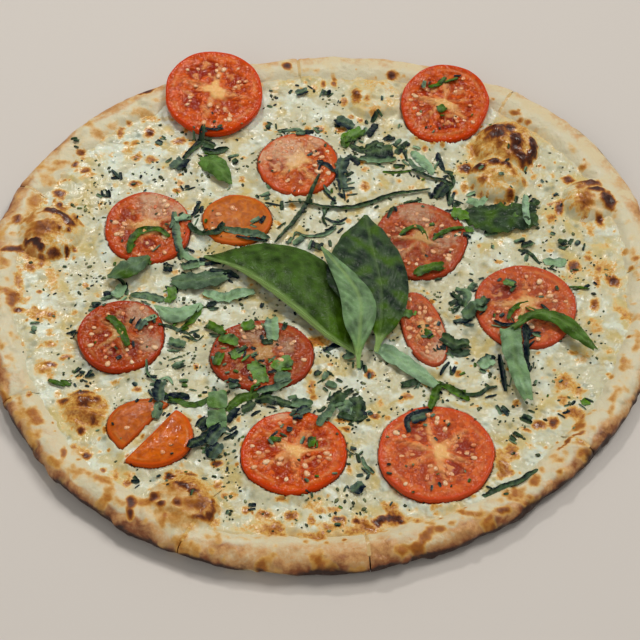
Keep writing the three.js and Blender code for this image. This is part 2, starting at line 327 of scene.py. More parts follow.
class Ground:
    """Heights and colour masks over the whole pizza, on a fine square grid."""

    STEP = 0.5
    REACH = (190.0, 184.0)

    def __init__(self) -> None:
        """Lays the grid out."""
        xs, ys = (np.arange(-reach, reach + self.STEP, self.STEP) for reach in self.REACH)
        self.x, self.y = np.meshgrid(xs, ys)
        self.maps: dict[str, Array] = {}

    def blank(self, name: str) -> None:
        """Starts a map of zeros."""
        self.maps[name] = np.zeros(self.x.shape, np.float32)

    def sample(self, name: str, x: Array, y: Array) -> Array:
        """A map's values at some places, straight between the grid's points.

        Args:
            name: The map's name.
            x: Across.
            y: Away from the front.

        Returns:
            One value for each place.
        """
        layer = self.maps[name]
        col = np.clip((x + self.REACH[0]) / self.STEP, 0, layer.shape[1] - 1.001)
        row = np.clip((y + self.REACH[1]) / self.STEP, 0, layer.shape[0] - 1.001)
        i, j = row.astype(int), col.astype(int)
        v, u = row - i, col - j
        low = layer[i, j] * (1 - u) + layer[i, j + 1] * u
        high = layer[i + 1, j] * (1 - u) + layer[i + 1, j + 1] * u
        return low * (1 - v) + high * v

    def window(self, x: float, y: float, reach: float) -> tuple[slice, slice]:
        """The part of the grid within a reach of a place, as its rows and columns.

        Args:
            x: Across.
            y: Away from the front.
            reach: The reach.

        Returns:
            The rows and the columns.
        """
        middles = ((y + self.REACH[1]) / self.STEP, (x + self.REACH[0]) / self.STEP)
        half = reach / self.STEP + 1
        return tuple(slice(max(int(m - half), 0), max(int(m + half) + 1, 0)) for m in middles)


# ---- Baked marks ----


@dataclass(frozen=True)
class Spot:
    """A browned spot: centre, length, width, how dark it is, 0 to 1, and its turn."""

    x: float
    y: float
    long: float
    wide: float
    dark: float
    turn: float = 0.0

    def mask(self, x: Array, y: Array, ragged: Array) -> Array:
        """How strongly the spot marks some places.

        Args:
            x: Across.
            y: Away from the front.
            ragged: Noise that makes its edge uneven.

        Returns:
            The strength, 0 to dark.
        """
        cos, sin = heading(self.turn)
        dx, dy = x - self.x, y - self.y
        along, across = (dx * cos + dy * sin) / (self.long / 2), (dy * cos - dx * sin) / (self.wide / 2)
        away = np.hypot(along, across) + 0.34 * ragged
        return self.dark * (0.7 * smooth(1.25, 0.15, away) + 0.3 * smooth(1.9, 0.5, away))


@dataclass(frozen=True)
class Arc:
    """A browned crease: the centre and radius of its bend, its two ends, its width and how dark it is."""

    x: float
    y: float
    radius: float
    start: float
    end: float
    wide: float
    dark: float

    def mask(self, x: Array, y: Array, ragged: Array) -> Array:
        """How strongly the crease marks some places, as a spot's mask does.

        Args:
            x: Across.
            y: Away from the front.
            ragged: Noise that makes its edge uneven.

        Returns:
            The strength, 0 to dark.
        """
        middle, half = math.radians((self.start + self.end) / 2), math.radians(self.end - self.start) / 2
        off = apart(np.arctan2(y - self.y, x - self.x), middle) / half
        away = np.abs(np.hypot(x - self.x, y - self.y) - self.radius + 1.6 * ragged) / (self.wide / 2)
        return self.dark * smooth(1.5, 0.3, away) * smooth(1.15, 0.7, off)


# Centre, length, width and darkness in percent of each spot, and its turn where it has one.
SPOTS: tuple[tuple[float, ...], ...] = (
    # far left
    (-100, 142, 11, 5, 95, 30), (-97, 112, 6, 8, 88), (-113, 112, 5, 9, 62), (-79, 106, 10, 6, 66, 15),
    (-103, 93.5, 6, 6, 60), (-95, 92.5, 7, 6, 66), (-134, 96, 7, 5, 72), (-137, 88, 4, 6, 85),
    (-131, 83, 7, 6, 72), (-103, 74, 8, 5, 78), (-78, 75, 5, 5, 50), (-44, 77, 4, 6, 50),
    (-20, 163, 6, 7, 97, 20), (-1, 115, 9, 6, 66), (-43, 94, 4, 3, 40), (-152, 75, 9, 14, 38),
    (-165, 45, 6, 9, 80), (-144, 66, 8, 8, 85), (-156, 15, 8, 6, 62), (-150, 16, 5, 7, 55),
    (-161, 4, 6, 15, 55, 10), (-163, -9, 7, 17, 70), (-159, -16, 6, 5, 90), (-125, 2, 4, 4, 50),
    # the golden bubble on the left rim
    (-146, 47.5, 9, 4, 90, -10), (-138, 43, 6, 9, 90, 20), (-142, 54, 8, 9, 62), (-143.5, 58, 4, 5, 85),
    (-133.5, 46, 4, 13, 60, 15), (-150, 35, 24, 15, 64, 20), (-141, 36, 2.4, 6, 75),
    (-136, 36, 2.6, 6, 80), (-166, 25, 14, 4.5, 100, 12), (-143.5, 22, 9, 5, 92),
    (-136.6, 23, 2.8, 8, 92), (-150, 20, 6, 5, 85), (-155, 14, 9, 9, 50), (-152, 47, 9, 3, 50, 30),
    (-162, 34, 6, 5, 30),
    # far right
    (41, 156, 8, 6, 95, -20), (20, 139, 6, 13, 78), (13, 136, 5, 8, 55), (26, 136, 4, 5, 50),
    (17, 125, 4, 4, 55), (30, 127, 7, 9, 42), (30, 150, 26, 16, 24), (1, 150, 3, 7, 75),
    (7, 151, 4, 5, 80), (-4, 147, 4, 6, 45), (24, 85, 5, 5, 50), (24, 72, 6, 8, 55),
    (58, 100, 4, 5, 62), (40, 86, 4, 3, 35), (110, 126, 8, 4, 66, -20), (112, 121, 5, 4, 55),
    (136, 77, 8, 5, 88), (128, 80, 3, 5, 40),
    # the two-lobed cheese bubble
    (96, 109, 15, 8, 100, -8), (105, 108, 9, 9, 100), (98, 103, 17, 11, 92), (108, 99, 10, 15, 100, 10),
    (111, 89, 8, 12, 100, 25), (99, 96, 8, 9, 66), (107, 93, 9, 8, 90), (86, 98, 10, 16, 50),
    (88, 106, 5, 6, 42, 30), (92, 92, 11, 5, 40, -10), (80, 85.5, 9, 9, 95, 20), (87, 81.5, 11, 6, 95),
    (95, 84.5, 12, 5, 98), (102, 82, 8, 5, 95, -25), (106, 77, 6, 8, 60), (89, 72.5, 8, 8, 62),
    (79, 72, 6, 9, 45), (103.5, 63.5, 7, 8, 66), (98, 60, 9, 5, 50), (86, 65, 6, 5, 30),
    # the bubble on the right rim
    (136.5, 76, 8, 5.5, 85, -10), (147, 70.5, 17, 8, 86, 8), (150, 64, 13, 5, 100, 4),
    (156.5, 58, 10, 13, 100, 20), (142, 66, 7, 7, 60), (143.5, 57, 13, 19, 58), (130, 56, 6, 12, 84),
    (143, 48, 5, 10, 42), (151, 46.5, 5.5, 8, 85), (146, 40, 6, 12, 36),
    # right
    (150, 13, 24, 17, 32, 20), (135, 15, 7, 10, 86, -15), (123, 26, 5, 4, 35), (95, 18, 5, 3, 55),
    (85, 29, 3, 3, 50), (97, 32, 3, 3, 45), (155, 5, 7, 10, 92, 30), (148, 13, 5, 7, 60),
    (143, 20, 6, 5, 50), (163, 24, 5, 6, 45), (165, 12, 4, 4, 55), (144, -11, 5, 12, 70, -10),
    (147, 4, 4, 12, 50), (130, -43, 7, 4, 42), (124, -62, 10, 15, 50, -20), (123, -73, 7, 8, 50),
    # near right
    (25, -57, 6, 6, 76), (70, -57, 5, 5, 66), (43, -71, 7, 5, 66), (27, -83, 6, 5, 72),
    (12, -92, 6, 5, 72), (10, -86, 10, 4, 50), (30, -75, 4, 8, 40), (14, -116, 4, 7, 45),
    (24, -117, 3, 8, 45, 30), (99, -75, 5, 5, 50), (110, -89, 8, 6, 82), (117, -87, 6, 8, 90, -10),
    (103, -92, 8, 3, 50, -30), (95, -105, 8, 12, 62), (91, -113, 6, 6, 50), (129, -108, 7, 5, 55, 30),
    (118, -119, 5, 4, 50), (105, -124, 7, 11, 55, -20), (95, -131, 7, 9, 55), (88, -142, 11, 5, 70, 15),
    (57, -153, 8, 6, 62), (102, -133, 6, 4, 50), (27, -147, 6, 5, 95), (8, -145, 8, 5, 80),
    (17, -146, 5, 4, 92), (6, -139, 8, 4, 50), (16, -151, 10, 4, 45),
    # near left
    (-142, -18, 7, 5, 66), (-151, -14, 5, 4, 45), (-141, -38, 9, 5, 52), (-140, -51, 7, 5, 80),
    (-132, -46, 9, 4, 60, 10), (-94, -66, 5, 5, 66), (-68, -86, 5, 4, 60), (-71, -76, 5, 3, 40),
    (-96, -125, 6, 7, 62), (-93, -138, 6, 8, 88), (-93, -144, 4, 7, 95), (-128, -108, 4, 9, 66),
    (-120, -106, 15, 12, 34), (-117, -108, 5, 6, 90), (-124, -103, 5, 4, 50, 30),
    (-102, -120, 6, 10, 40), (-28, -142, 11, 6, 62), (-15, -143, 8, 6, 70), (-37, -140, 6, 5, 52),
    (-20, -151, 6, 4, 50), (-44, -131, 8, 6, 36), (-20, -134, 8, 3, 60), (-5, -146, 5, 8, 50),
    (-3, -36, 14, 9, 62), (-5, -64, 5, 8, 55), (-4, -71, 4, 4, 60), (-61, -5, 7, 6, 42),
    (-52, -112, 7, 4, 84), (-30, -150, 34, 9, 30, 5), (-106, -62, 6, 4, 35),
    # the small bubble near the left rim
    (-122, -70, 12, 6, 90), (-131, -75, 7, 6, 84), (-120, -77, 12, 12, 82), (-114, -75, 6, 8, 70),
    (-115, -87, 8, 8, 82), (-121, -93, 5, 5, 84), (-128, -82, 6, 8, 40), (-134, -70, 5, 8, 30),
    # the cracked bubble at the front left
    (-75, -121, 7, 6, 95), (-65, -120, 8, 6, 80, -20), (-70, -118, 13, 5, 40),
    (-67, -130, 13, 6, 90, -30), (-63, -133, 7, 6, 90), (-82, -135, 7, 7, 90), (-78, -140, 6, 4, 85),
    (-70, -140, 7, 7, 70), (-64, -140, 13, 10, 55), (-59, -147, 13, 3.4, 72, 5),
    (-58.5, -140, 14, 15, 62), (-93, -138, 6, 10, 95), (-76, -146, 6, 5, 50), (-66, -157, 6, 5, 40),
    (-74, -129, 8, 4, 50, 20), (-55, -157, 7, 5, 40), (-84, -128, 5, 4, 30),
)
# Centre, radius, two ends, width and darkness in percent of each crease on the bubbles.
ARCS: tuple[tuple[float, ...], ...] = (
    (-147, 36, 12, 8, 112, 5, 90), (-157, 20, 8, 15, 115, 3.4, 92), (101, 98, 17, -44, 20, 4.4, 100),
    (102, 99, 18.5, 30, 120, 2, 62), (140, -120, 26, 105, 150, 2, 70), (33, -153, 9, 35, 145, 4.5, 97),
    (-64, -140, 11, -45, 25, 2.6, 75),
)
TOAST_MARKS: tuple[Spot | Arc, ...] = (
    *(Spot(x, y, long, wide, dark / 100, *turn) for x, y, long, wide, dark, *turn in SPOTS),
    *(Arc(*shape, dark / 100) for *shape, dark in ARCS))
# How far the rim is baked round the pizza: angle, and 0 for pale to 1 for brown.
BAKE_ROUND: tuple[Point, ...] = (
    (0, 0.44), (14, 0.44), (30, 0.26), (60, 0.27), (95, 0.28), (130, 0.48), (150, 0.64), (180, 0.72),
    (205, 0.74), (225, 0.7), (245, 0.66), (258, 0.76), (272, 0.84), (300, 0.86), (325, 0.8), (345, 0.6),
    (360, 0.44))
# How far the cheese's border lies inside the edge: angle, and millimetres.
BORDER_ROUND: tuple[Point, ...] = (
    (0, 10), (30, 14), (60, 16), (95, 13), (130, 12), (160, 11), (200, 7), (225, 5), (245, 8), (260, 18),
    (275, 22), (288, 16), (300, 9), (325, 8), (345, 9), (360, 10))
# How far the edge is charred: angle, and 0 for not at all to 1 for black.
CHAR_ROUND: tuple[Point, ...] = (
    (0, 0.25), (24, 0.2), (29, 1.1), (37, 1.1), (41, 0.4), (44, 1.0), (48, 0.25), (82, 0.12), (85, 0.7),
    (88, 0.12), (137, 0.2), (141, 0.8), (145, 0.25), (152, 0.8), (162, 0.7), (168, 0.25), (190, 0.3),
    (208, 0.72), (228, 0.78), (240, 0.72), (255, 0.7), (275, 0.85), (300, 1.0), (330, 0.95), (345, 0.5),
    (360, 0.25))


def round_level(levels: Sequence[Point], angle: Array) -> Array:
    """A level that changes round the pizza, at angles in radians."""
    return np.interp(np.degrees(angle) % 360.0, *np.array(levels).T)


# ---- Meshes ----


@dataclass
class Skin:
    """Points, triangles and point values of a mesh as it grows."""

    points: list[Array] = field(default_factory=list)
    faces: list[Array] = field(default_factory=list)
    values: dict[str, list[Array]] = field(default_factory=dict)
    count: int = 0

    def add(self, points: Array, faces: Array = (), **values: Array) -> Array:
        """Adds some points, with triangles that number them from 0.

        Args:
            points: The points.
            faces: The triangles, which may be none.
            values: Values of the points, by name.

        Returns:
            The new points' numbers in the whole mesh.
        """
        points = np.asarray(points, float).reshape(-1, 3)
        if len(faces):
            self.faces.append(np.asarray(faces, np.int64).reshape(-1, 3) + self.count)
        self.points.append(points)
        for name, value in values.items():
            self.values.setdefault(name, []).append(np.broadcast_to(value, len(points)).astype(float))
        self.count += len(points)
        return np.arange(self.count - len(points), self.count)

    def piece(self, name: str, finish: bpy.types.Material, slot: str,
              nodes: Sequence[str] = (), crease: float | None = None) -> bpy.types.Object:
        """Makes the object, which rides on the pizza's one body.

        Args:
            name: The piece's name.
            finish: Its material.
            slot: A material slot's name, which is not used.
            nodes: The frame's nodes that it stands for.
            crease: The angle over which an edge is sharp.

        Returns:
            The object.
        """
        points, faces = np.concatenate(self.points), np.concatenate(self.faces)
        mesh = bpy.data.meshes.new(name)
        mesh.vertices.add(len(points))
        mesh.vertices.foreach_set("co", (points * MM).astype(np.float32).ravel())
        mesh.loops.add(faces.size)
        mesh.loops.foreach_set("vertex_index", faces.astype(np.int32).ravel())
        mesh.polygons.add(len(faces))
        mesh.polygons.foreach_set("loop_start", np.arange(0, faces.size, 3, dtype=np.int32))
        mesh.polygons.foreach_set("use_smooth", np.ones(len(faces), bool))
        for title, parts in self.values.items():
            layer = mesh.attributes.new(title, "FLOAT", "POINT")
            layer.data.foreach_set("value", np.concatenate(parts).astype(np.float32))
        mesh.update(calc_edges=True)
        mesh.validate()
        if crease is not None:
            mesh.set_sharp_from_angle(angle=math.radians(crease))
        mesh.materials.append(finish)
        made = bpy.data.objects.new(name, mesh)
        bpy.context.scene.collection.objects.link(made)
        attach(made, "root")
        if nodes:
            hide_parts(*nodes)
        LOG.info("%s: %d triangles", name, len(faces))
        return made


def between(inner: Array, outer: Array, inner_at: Array | None = None,
            outer_at: Array | None = None) -> Array:
    """Triangles between two rows of points, whatever their counts.

    Args:
        inner: The first row's point numbers.
        outer: The second row's.
        inner_at: Where the first row's points lie along the rows, evenly spread if not given.
        outer_at: Where the second row's lie.

    Returns:
        Triangles that turn left from inner to outer to the next point along.
    """
    if inner_at is None and len(inner) == len(outer):
        near = np.stack([inner[:-1], outer[:-1], outer[1:]], -1)
        far = np.stack([inner[:-1], outer[1:], inner[1:]], -1)
        return np.concatenate([near, far])
    if inner_at is None:
        inner_at, outer_at = (np.linspace(0, 1, len(row)) if len(row) > 1 else np.ones(1)
                              for row in (inner, outer))
    faces, i, j = [], 0, 0
    last_i, last_j = len(inner) - 1, len(outer) - 1
    while i < last_i or j < last_j:
        if i == last_i or (j < last_j and outer_at[j + 1] <= inner_at[i + 1] + 1e-9):
            faces.append((inner[i], outer[j], outer[j + 1]))
            j += 1
        else:
            faces.append((inner[i], outer[j], inner[i + 1]))
            i += 1
    return np.array(faces)


def joined(rows: Sequence[Array]) -> Array:
    """The triangles between each row of points and the next."""
    return np.concatenate([between(a, b) for a, b in zip(rows[:-1], rows[1:])])


def closed(row: Array) -> Array:
    """A row of points that ends where it starts, or its one point."""
    return np.append(row, row[0]) if len(row) > 1 else row


def sheet(skin: Skin, x: Array, y: Array, z: Array, thick: float, **values: Array) -> None:
    """Adds a thin closed sheet.

    Args:
        skin: The mesh to add to.
        x: Across, by row and place along it.
        y: Away from the front, in the same layout.
        z: Heights of its underside.
        thick: How thick it is.
        values: Point values in the same layout.
    """
    rings = np.concatenate([points_at(x, y, z + thick), points_at(x, y, z)[:, ::-1]], axis=1)
    count, around = rings.shape[:2]
    number = np.arange(count * around).reshape(count, around)
    following = np.roll(number, -1, axis=1)
    near = np.stack([number[:-1], number[1:], following[1:]], -1).reshape(-1, 3)
    far = np.stack([number[:-1], following[1:], following[:-1]], -1).reshape(-1, 3)
    half = around // 2
    top, bottom = number[:, :half], number[:, :half - 1:-1]
    faces = [near, far, between(bottom[0], top[0]), between(top[-1], bottom[-1])]
    both = {name: np.concatenate([value, value[:, ::-1]], axis=1).ravel() for name, value in values.items()}
    skin.add(rings, np.concatenate(faces), **both)


def length_of(line: Sequence[Sequence[float]]) -> float:
    """How long a line through some points is."""
    return sum(math.dist(a, b) for a, b in zip(line[:-1], line[1:]))


def curve_through(knots: Sequence[Sequence[float]], share: Array) -> tuple[Array, Array]:
    """A smooth line through some points.

    Args:
        knots: The points.
        share: Places along it, 0 to 1.

    Returns:
        The line's points and its directions there.
    """
    knot = np.array(knots, float)
    if len(knot) == 2:
        knot = np.array([knot[0], knot.mean(axis=0), knot[1]])
    padded = np.concatenate([[2 * knot[0] - knot[1]], knot, [2 * knot[-1] - knot[-2]]])
    place = np.clip(share, 0, 1) * (len(knot) - 1)
    i = np.minimum(place.astype(int), len(knot) - 2)
    t = (place - i)[:, None]
    a, b, c, d = (padded[i + k] for k in range(4))
    square, cube = 2 * a - 5 * b + 4 * c - d, 3 * b - a - 3 * c + d
    point = 0.5 * (2 * b + (c - a) * t + square * t ** 2 + cube * t ** 3)
    ahead = 0.5 * ((c - a) + 2 * square * t + 3 * cube * t ** 2)
    return point, ahead / np.maximum(np.linalg.norm(ahead, axis=1, keepdims=True), 1e-9)


# ---- Finishes ----


class Bench:
    """A material's nodes, wired one after another as they are added."""

    def __init__(self, name: str) -> None:
        """Starts the material with its shader.

        Args:
            name: The material's name.
        """
        self.material = bpy.data.materials.new(name)
        self.material.use_nodes = True
        self.tree = self.material.node_tree
        self.tree.nodes.clear()
        self.shader = self.node("BsdfPrincipled")
        self.wire(self.node("OutputMaterial"), Surface=self.shader.outputs[0])
        self.place = self.node("TexCoord").outputs["Object"]

    def node(self, kind: str, **settings: object) -> bpy.types.Node:
        """Adds a node of a kind.

        Args:
            kind: The kind.
            settings: Its settings that aren't sockets.

        Returns:
            The node.
        """
        node = self.tree.nodes.new("ShaderNode" + kind)
        for name, value in settings.items():
            setattr(node, name, value)
        return node

    def plug(self, socket: bpy.types.NodeSocket, value: object) -> None:
        """Sets a socket to a number or colour, or wires another socket to it.

        Args:
            socket: The socket.
            value: The number, colour or other socket.
        """
        if isinstance(value, bpy.types.NodeSocket):
            self.tree.links.new(value, socket)
        elif isinstance(value, tuple) and socket.type == "RGBA":
            socket.default_value = (*value, 1.0)
        else:
            socket.default_value = value

    def wire(self, node: bpy.types.Node, **sockets: object) -> bpy.types.NodeSocket:
        """Sets or wires a node's sockets, named with underscores for spaces.

        Args:
            node: The node.
            sockets: What each socket is set or wired to.

        Returns:
            The node's first output, if it has one.
        """
        for name, value in sockets.items():
            self.plug(node.inputs[name.replace("_", " ")], value)
        return node.outputs[0] if node.outputs else None

    def finish(self, **sockets: object) -> bpy.types.Material:
        """The material, once its shader's sockets are set or wired."""
        self.wire(self.shader, **sockets)
        return self.material

    def value(self, name: str) -> bpy.types.NodeSocket:
        """One of the mesh's point values."""
        return self.node("Attribute", attribute_name=name).outputs["Fac"]

    def noise(self, size: float, detail: float = 2.0, rough: float = 0.5,
              bend: float = 0.0) -> bpy.types.NodeSocket:
        """Noise whose swells are some millimetres across, with finer layers of some roughness."""
        return self.wire(self.node("TexNoise"), Vector=self.place, Scale=1.0 / (size * MM), Detail=detail,
                         Roughness=rough, Distortion=bend)

    def cells(self, size: float) -> bpy.types.NodeSocket:
        """The distance to the nearest of many points some millimetres apart."""
        return self.wire(self.node("TexVoronoi"), Vector=self.place, Scale=1.0 / (size * MM))

    def maths(self, operation: str, a: object, b: object) -> bpy.types.NodeSocket:
        """One sum of two numbers.

        Args:
            operation: The kind of sum.
            a: The first number.
            b: The second number.

        Returns:
            The outcome.
        """
        node = self.node("Math", operation=operation)
        for socket, number in zip(node.inputs, (a, b)):
            self.plug(socket, number)
        return node.outputs[0]

    def add(self, a: object, b: object) -> bpy.types.NodeSocket:
        """Two numbers added."""
        return self.maths("ADD", a, b)

    def times(self, a: object, b: object) -> bpy.types.NodeSocket:
        """Two numbers multiplied."""
        return self.maths("MULTIPLY", a, b)

    def remap(self, value: object, low: float, high: float,
              start: float = 0.0, end: float = 1.0) -> bpy.types.NodeSocket:
        """A number stretched softly from one range, low to high, to another, start to end."""
        return self.wire(self.node("MapRange", interpolation_type="SMOOTHSTEP"), Value=value, From_Min=low,
                         From_Max=high, To_Min=start, To_Max=end)

    def blend(self, share: object, a: object, b: object) -> bpy.types.NodeSocket:
        """A colour between two colours.

        Args:
            share: 0 for the first to 1 for the second.
            a: The first colour.
            b: The second colour.

        Returns:
            The colour.
        """
        node = self.node("Mix", data_type="RGBA")
        for index, part in ((0, share), (6, a), (7, b)):
            self.plug(node.inputs[index], part)
        return node.outputs[2]

    def ramp(self, value: object, *stops: tuple[float, Colour]) -> bpy.types.NodeSocket:
        """Colours along a scale.

        Args:
            value: The place on the scale.
            stops: Places, each with its colour.

        Returns:
            The colour.
        """
        node = self.node("ValToRGB")
        marks = node.color_ramp.elements
        while len(marks) < len(stops):
            marks.new(1.0)
        for mark, (place, colour) in zip(marks, stops):
            mark.position = place
            mark.color = (*colour, 1.0)
        return self.wire(node, Fac=value)

    def relief(self, height: object, depth: float, below: object = None) -> bpy.types.NodeSocket:
        """Fine relief some millimetres deep, on the relief below it if there is one."""
        rest = {} if below is None else {"Normal": below}
        return self.wire(self.node("Bump"), Height=height, Distance=depth * MM, Strength=1.0, **rest)


TOAST_STOPS: tuple[tuple[float, Colour], ...] = (
    (0.1, srgb(234, 215, 156)), (0.3, srgb(218, 168, 82)), (0.52, srgb(172, 104, 28)),
    (0.76, srgb(106, 48, 10)), (1.0, srgb(54, 20, 10)))


@dataclass(frozen=True)
class CheeseFinish:
    """Melted cheese: cream with whiter and yellower parts, herb stains, browned spots and painted crease
    shade.
    """

    cream: Colour = srgb(206, 203, 170)
    white: Colour = srgb(222, 229, 210)
    butter: Colour = srgb(206, 188, 124)
    # Painted shade for the creases between the curds.
    stain: Colour = srgb(104, 118, 98)
    crease_shade: Colour = srgb(172, 146, 90)
    edge: Colour = srgb(208, 174, 116)
    gloss: float = 0.34

    def material(self) -> bpy.types.Material:
        """Makes the material.

        Returns:
            The material.
        """
        bench = Bench("melted_cheese")
        noise, remap, value, blend = bench.noise, bench.remap, bench.value, bench.blend
        ground = blend(remap(noise(15, 3, 0.55, 0.6), 0.46, 0.64), self.cream, self.butter)
        pale = bench.add(value("white"), remap(noise(11, 3, 0.55), 0.45, 0.65, 0.0, 0.7))
        ground = blend(remap(pale, 0.15, 0.9), ground, self.white)
        # Of these layers the second is painted shade in the creases; stain and edge are the cheese's own
        # colour.
        for layer, colour in (("stain", self.stain), ("crease_shade", self.crease_shade), ("edge", self.edge)):
            ground = blend(value(layer), ground, colour)
        grain = remap(noise(1.6, 2, 0.6), 0.35, 0.7, -0.09, 0.09)
        toast = bench.add(value("toast"), bench.times(grain, remap(value("toast"), 0.05, 0.3)))
        ground = blend(remap(toast, 0.03, 0.32), ground, bench.ramp(toast, *TOAST_STOPS))
        fine = bench.relief(noise(1.2, 2, 0.5), 0.1)
        lumps = bench.relief(noise(4.2, 2, 0.5, 0.4), 0.5, fine)
        rough = remap(noise(5, 3, 0.6), 0.35, 0.68, self.gloss - 0.12, self.gloss + 0.12)
        return bench.finish(Base_Color=ground, Normal=lumps, Roughness=rough, Specular_IOR_Level=0.36,
                            Subsurface_Weight=0.18, Subsurface_Radius=(1.0, 0.7, 0.35),
                            Subsurface_Scale=0.0018)


@dataclass(frozen=True)
class CrustFinish:
    """Baked dough: pale to golden to brown, with charred marks and a floury bloom."""

    pale: Colour = srgb(218, 202, 162)
    gold: Colour = srgb(206, 156, 98)
    brown: Colour = srgb(146, 84, 44)
    char: Colour = srgb(54, 32, 24)
    cream: Colour = srgb(216, 208, 176)

    def material(self) -> bpy.types.Material:
        """Makes the material.

        Returns:
            The material.
        """
        bench = Bench("baked_dough")
        noise, remap, value, blend = bench.noise, bench.remap, bench.value, bench.blend
        swell = remap(noise(11, 4, 0.6, 0.5), 0.3, 0.7, -0.22, 0.22)
        fine = remap(noise(2.4, 4, 0.66), 0.3, 0.7, -0.1, 0.1)
        level = bench.add(bench.add(value("bake"), swell), fine)
        ground = bench.ramp(level, (0.12, self.pale), (0.5, self.gold), (0.92, self.brown))
        film = bench.add(value("cream"), bench.times(swell, 1.2))
        ground = blend(remap(film, 0.25, 0.85), ground, self.cream)
        toast = bench.add(value("toast"), bench.times(fine, 0.45))
        ground = blend(remap(toast, 0.08, 0.45), ground, bench.ramp(toast, *TOAST_STOPS))
        burnt = bench.add(value("char"), bench.times(swell, 0.8))
        ground = blend(remap(burnt, 0.36, 0.8), ground, self.char)
        pores = bench.relief(bench.cells(2.1), 0.07)
        skin = bench.relief(noise(1.3, 3, 0.6), 0.16, pores)
        wrinkles = bench.relief(noise(5.5, 3, 0.5, 1.0), 0.6, skin)
        rough = remap(noise(7, 3, 0.6), 0.35, 0.7, 0.36, 0.62)
        return bench.finish(Base_Color=ground, Normal=wrinkles, Roughness=rough, Specular_IOR_Level=0.34,
                            Subsurface_Weight=0.08, Subsurface_Radius=(1.0, 0.6, 0.3),
                            Subsurface_Scale=0.0015)


@dataclass(frozen=True)
class TomatoFinish:
    """A roasted tomato slice: wet red flesh, pale core and walls, darker gel and skin."""

    flesh: Colour = srgb(220, 92, 18)
    wall: Colour = srgb(236, 136, 62)
    orange: Colour = srgb(212, 116, 2)
    core: Colour = srgb(240, 186, 116)
    gel: Colour = srgb(142, 22, 0)
    amber_gel: Colour = srgb(150, 66, 2)
    skin: Colour = srgb(206, 64, 2)
    amber_skin: Colour = srgb(212, 102, 20)
    milk: Colour = srgb(228, 190, 152)
    dusk: Colour = srgb(70, 28, 18)

    def material(self) -> bpy.types.Material:
        """Makes the material.

        Returns:
            The material.
        """
        bench = Bench("roasted_tomato")
        noise, remap, value, blend = bench.noise, bench.remap, bench.value, bench.blend
        fibre = remap(noise(4.0, 2, 0.55, 0.6), 0.34, 0.66)
        flesh = blend(value("ripe"), self.orange, self.flesh)
        deep = blend(value("ripe"), self.amber_gel, self.gel)
        ground = blend(bench.times(fibre, 0.6), flesh, deep)
        flecks = remap(noise(3.6, 2, 0.55, 0.6), 0.48, 0.66, 0.0, 0.36)
        ground = blend(bench.times(flecks, value("ripe")), ground, self.wall)
        ground = blend(value("gel"), ground, deep)
        ground = blend(value("pale"), ground, self.core)
        ground = blend(value("skin"), ground, blend(value("ripe"), self.amber_skin, self.skin))
        film = bench.add(value("milk"), remap(noise(3.0, 4, 0.6), 0.3, 0.7, -0.25, 0.25))
        ground = blend(remap(film, 0.2, 1.3, 0.0, 0.8), ground, self.milk)
        ground = blend(value("haze"), ground, self.milk)
        ground = blend(value("dusk"), ground, self.dusk)
        firm = remap(value("ripe"), 0.4, 0.9, 0.1, 1.0)
        pulp = bench.relief(bench.times(noise(1.9, 2, 0.5), firm), 0.4)
        beads = bench.relief(bench.times(bench.maths("SUBTRACT", 1.0, bench.cells(2.4)), firm), 0.2, pulp)
        waves = bench.relief(bench.times(noise(4.5, 2, 0.5), firm), 0.7, beads)
        rough = bench.add(remap(noise(3, 3, 0.6), 0.35, 0.7, 0.1, 0.28),
                          remap(value("ripe"), 0.2, 0.6, 0.22, 0.0))
        return bench.finish(Base_Color=ground, Normal=waves, Roughness=rough, Specular_IOR_Level=0.14,
                            Subsurface_Weight=0.16, Subsurface_Radius=(1.0, 0.35, 0.2),
                            Subsurface_Scale=0.002)


@dataclass(frozen=True)
class BasilFinish:
    """Basil, fresh or baked: a shade from dark to light and a warmth from blue-grey, in part painted sheen,
    to yellow-green.
    """

    # Blue-black: the cooked leaf's dark colour with a painted blue sheen in it.
    dark_cool_and_sheen: Colour = srgb(2, 18, 42)
    dark_warm: Colour = srgb(12, 24, 2)
    light_cool: Colour = srgb(164, 198, 164)
    light_warm: Colour = srgb(98, 144, 28)
    bruise: Colour = srgb(8, 20, 4)
    # Pale green for the veins, and for the painted highlight along a leaf's folded edge.
    vein: Colour = srgb(146, 176, 104)

    def material(self) -> bpy.types.Material:
        """Makes the material.

        Returns:
            The material.
        """
        bench = Bench("basil")
        noise, remap, value, blend = bench.noise, bench.remap, bench.value, bench.blend
        cool = blend(value("shade"), self.dark_cool_and_sheen, self.light_cool)
        warm = blend(value("shade"), self.dark_warm, self.light_warm)
        ground = blend(value("warmth"), cool, warm)
        patches = remap(noise(4, 4, 0.6), 0.36, 0.68, 0.0, 0.4)
        ground = blend(patches, ground, blend(0.5, ground, self.bruise))
        # This layer holds the veins and the painted highlight along a folded edge.
        ground = blend(value("vein"), ground, self.vein)
        ripple = bench.relief(noise(1.8, 3, 0.6), 0.25, bench.relief(bench.cells(0.9), 0.1))
        rough = remap(noise(3, 3, 0.6), 0.35, 0.7, 0.18, 0.36)
        return bench.finish(Base_Color=ground, Normal=ripple, Roughness=rough, Specular_IOR_Level=0.08,
                            Subsurface_Weight=0.08, Subsurface_Radius=(0.4, 1.0, 0.2),
                            Subsurface_Scale=0.001)


@dataclass(frozen=True)
class HerbFinish:
    """Dried herb flakes, nearly black to olive."""

    shades: tuple[Colour, ...] = (srgb(30, 42, 20), srgb(74, 88, 50), srgb(138, 146, 100))

    def material(self) -> bpy.types.Material:
        """Makes the material.

        Returns:
            The material.
        """
        bench = Bench("dried_herbs")
        ground = bench.ramp(bench.value("shade"), *zip((0.0, 0.5, 1.0), self.shades))
        rough = bench.remap(bench.noise(1.5), 0.3, 0.7, 0.6, 0.85)
        return bench.finish(Base_Color=ground, Roughness=rough, Normal=bench.relief(bench.noise(0.4), 0.08))


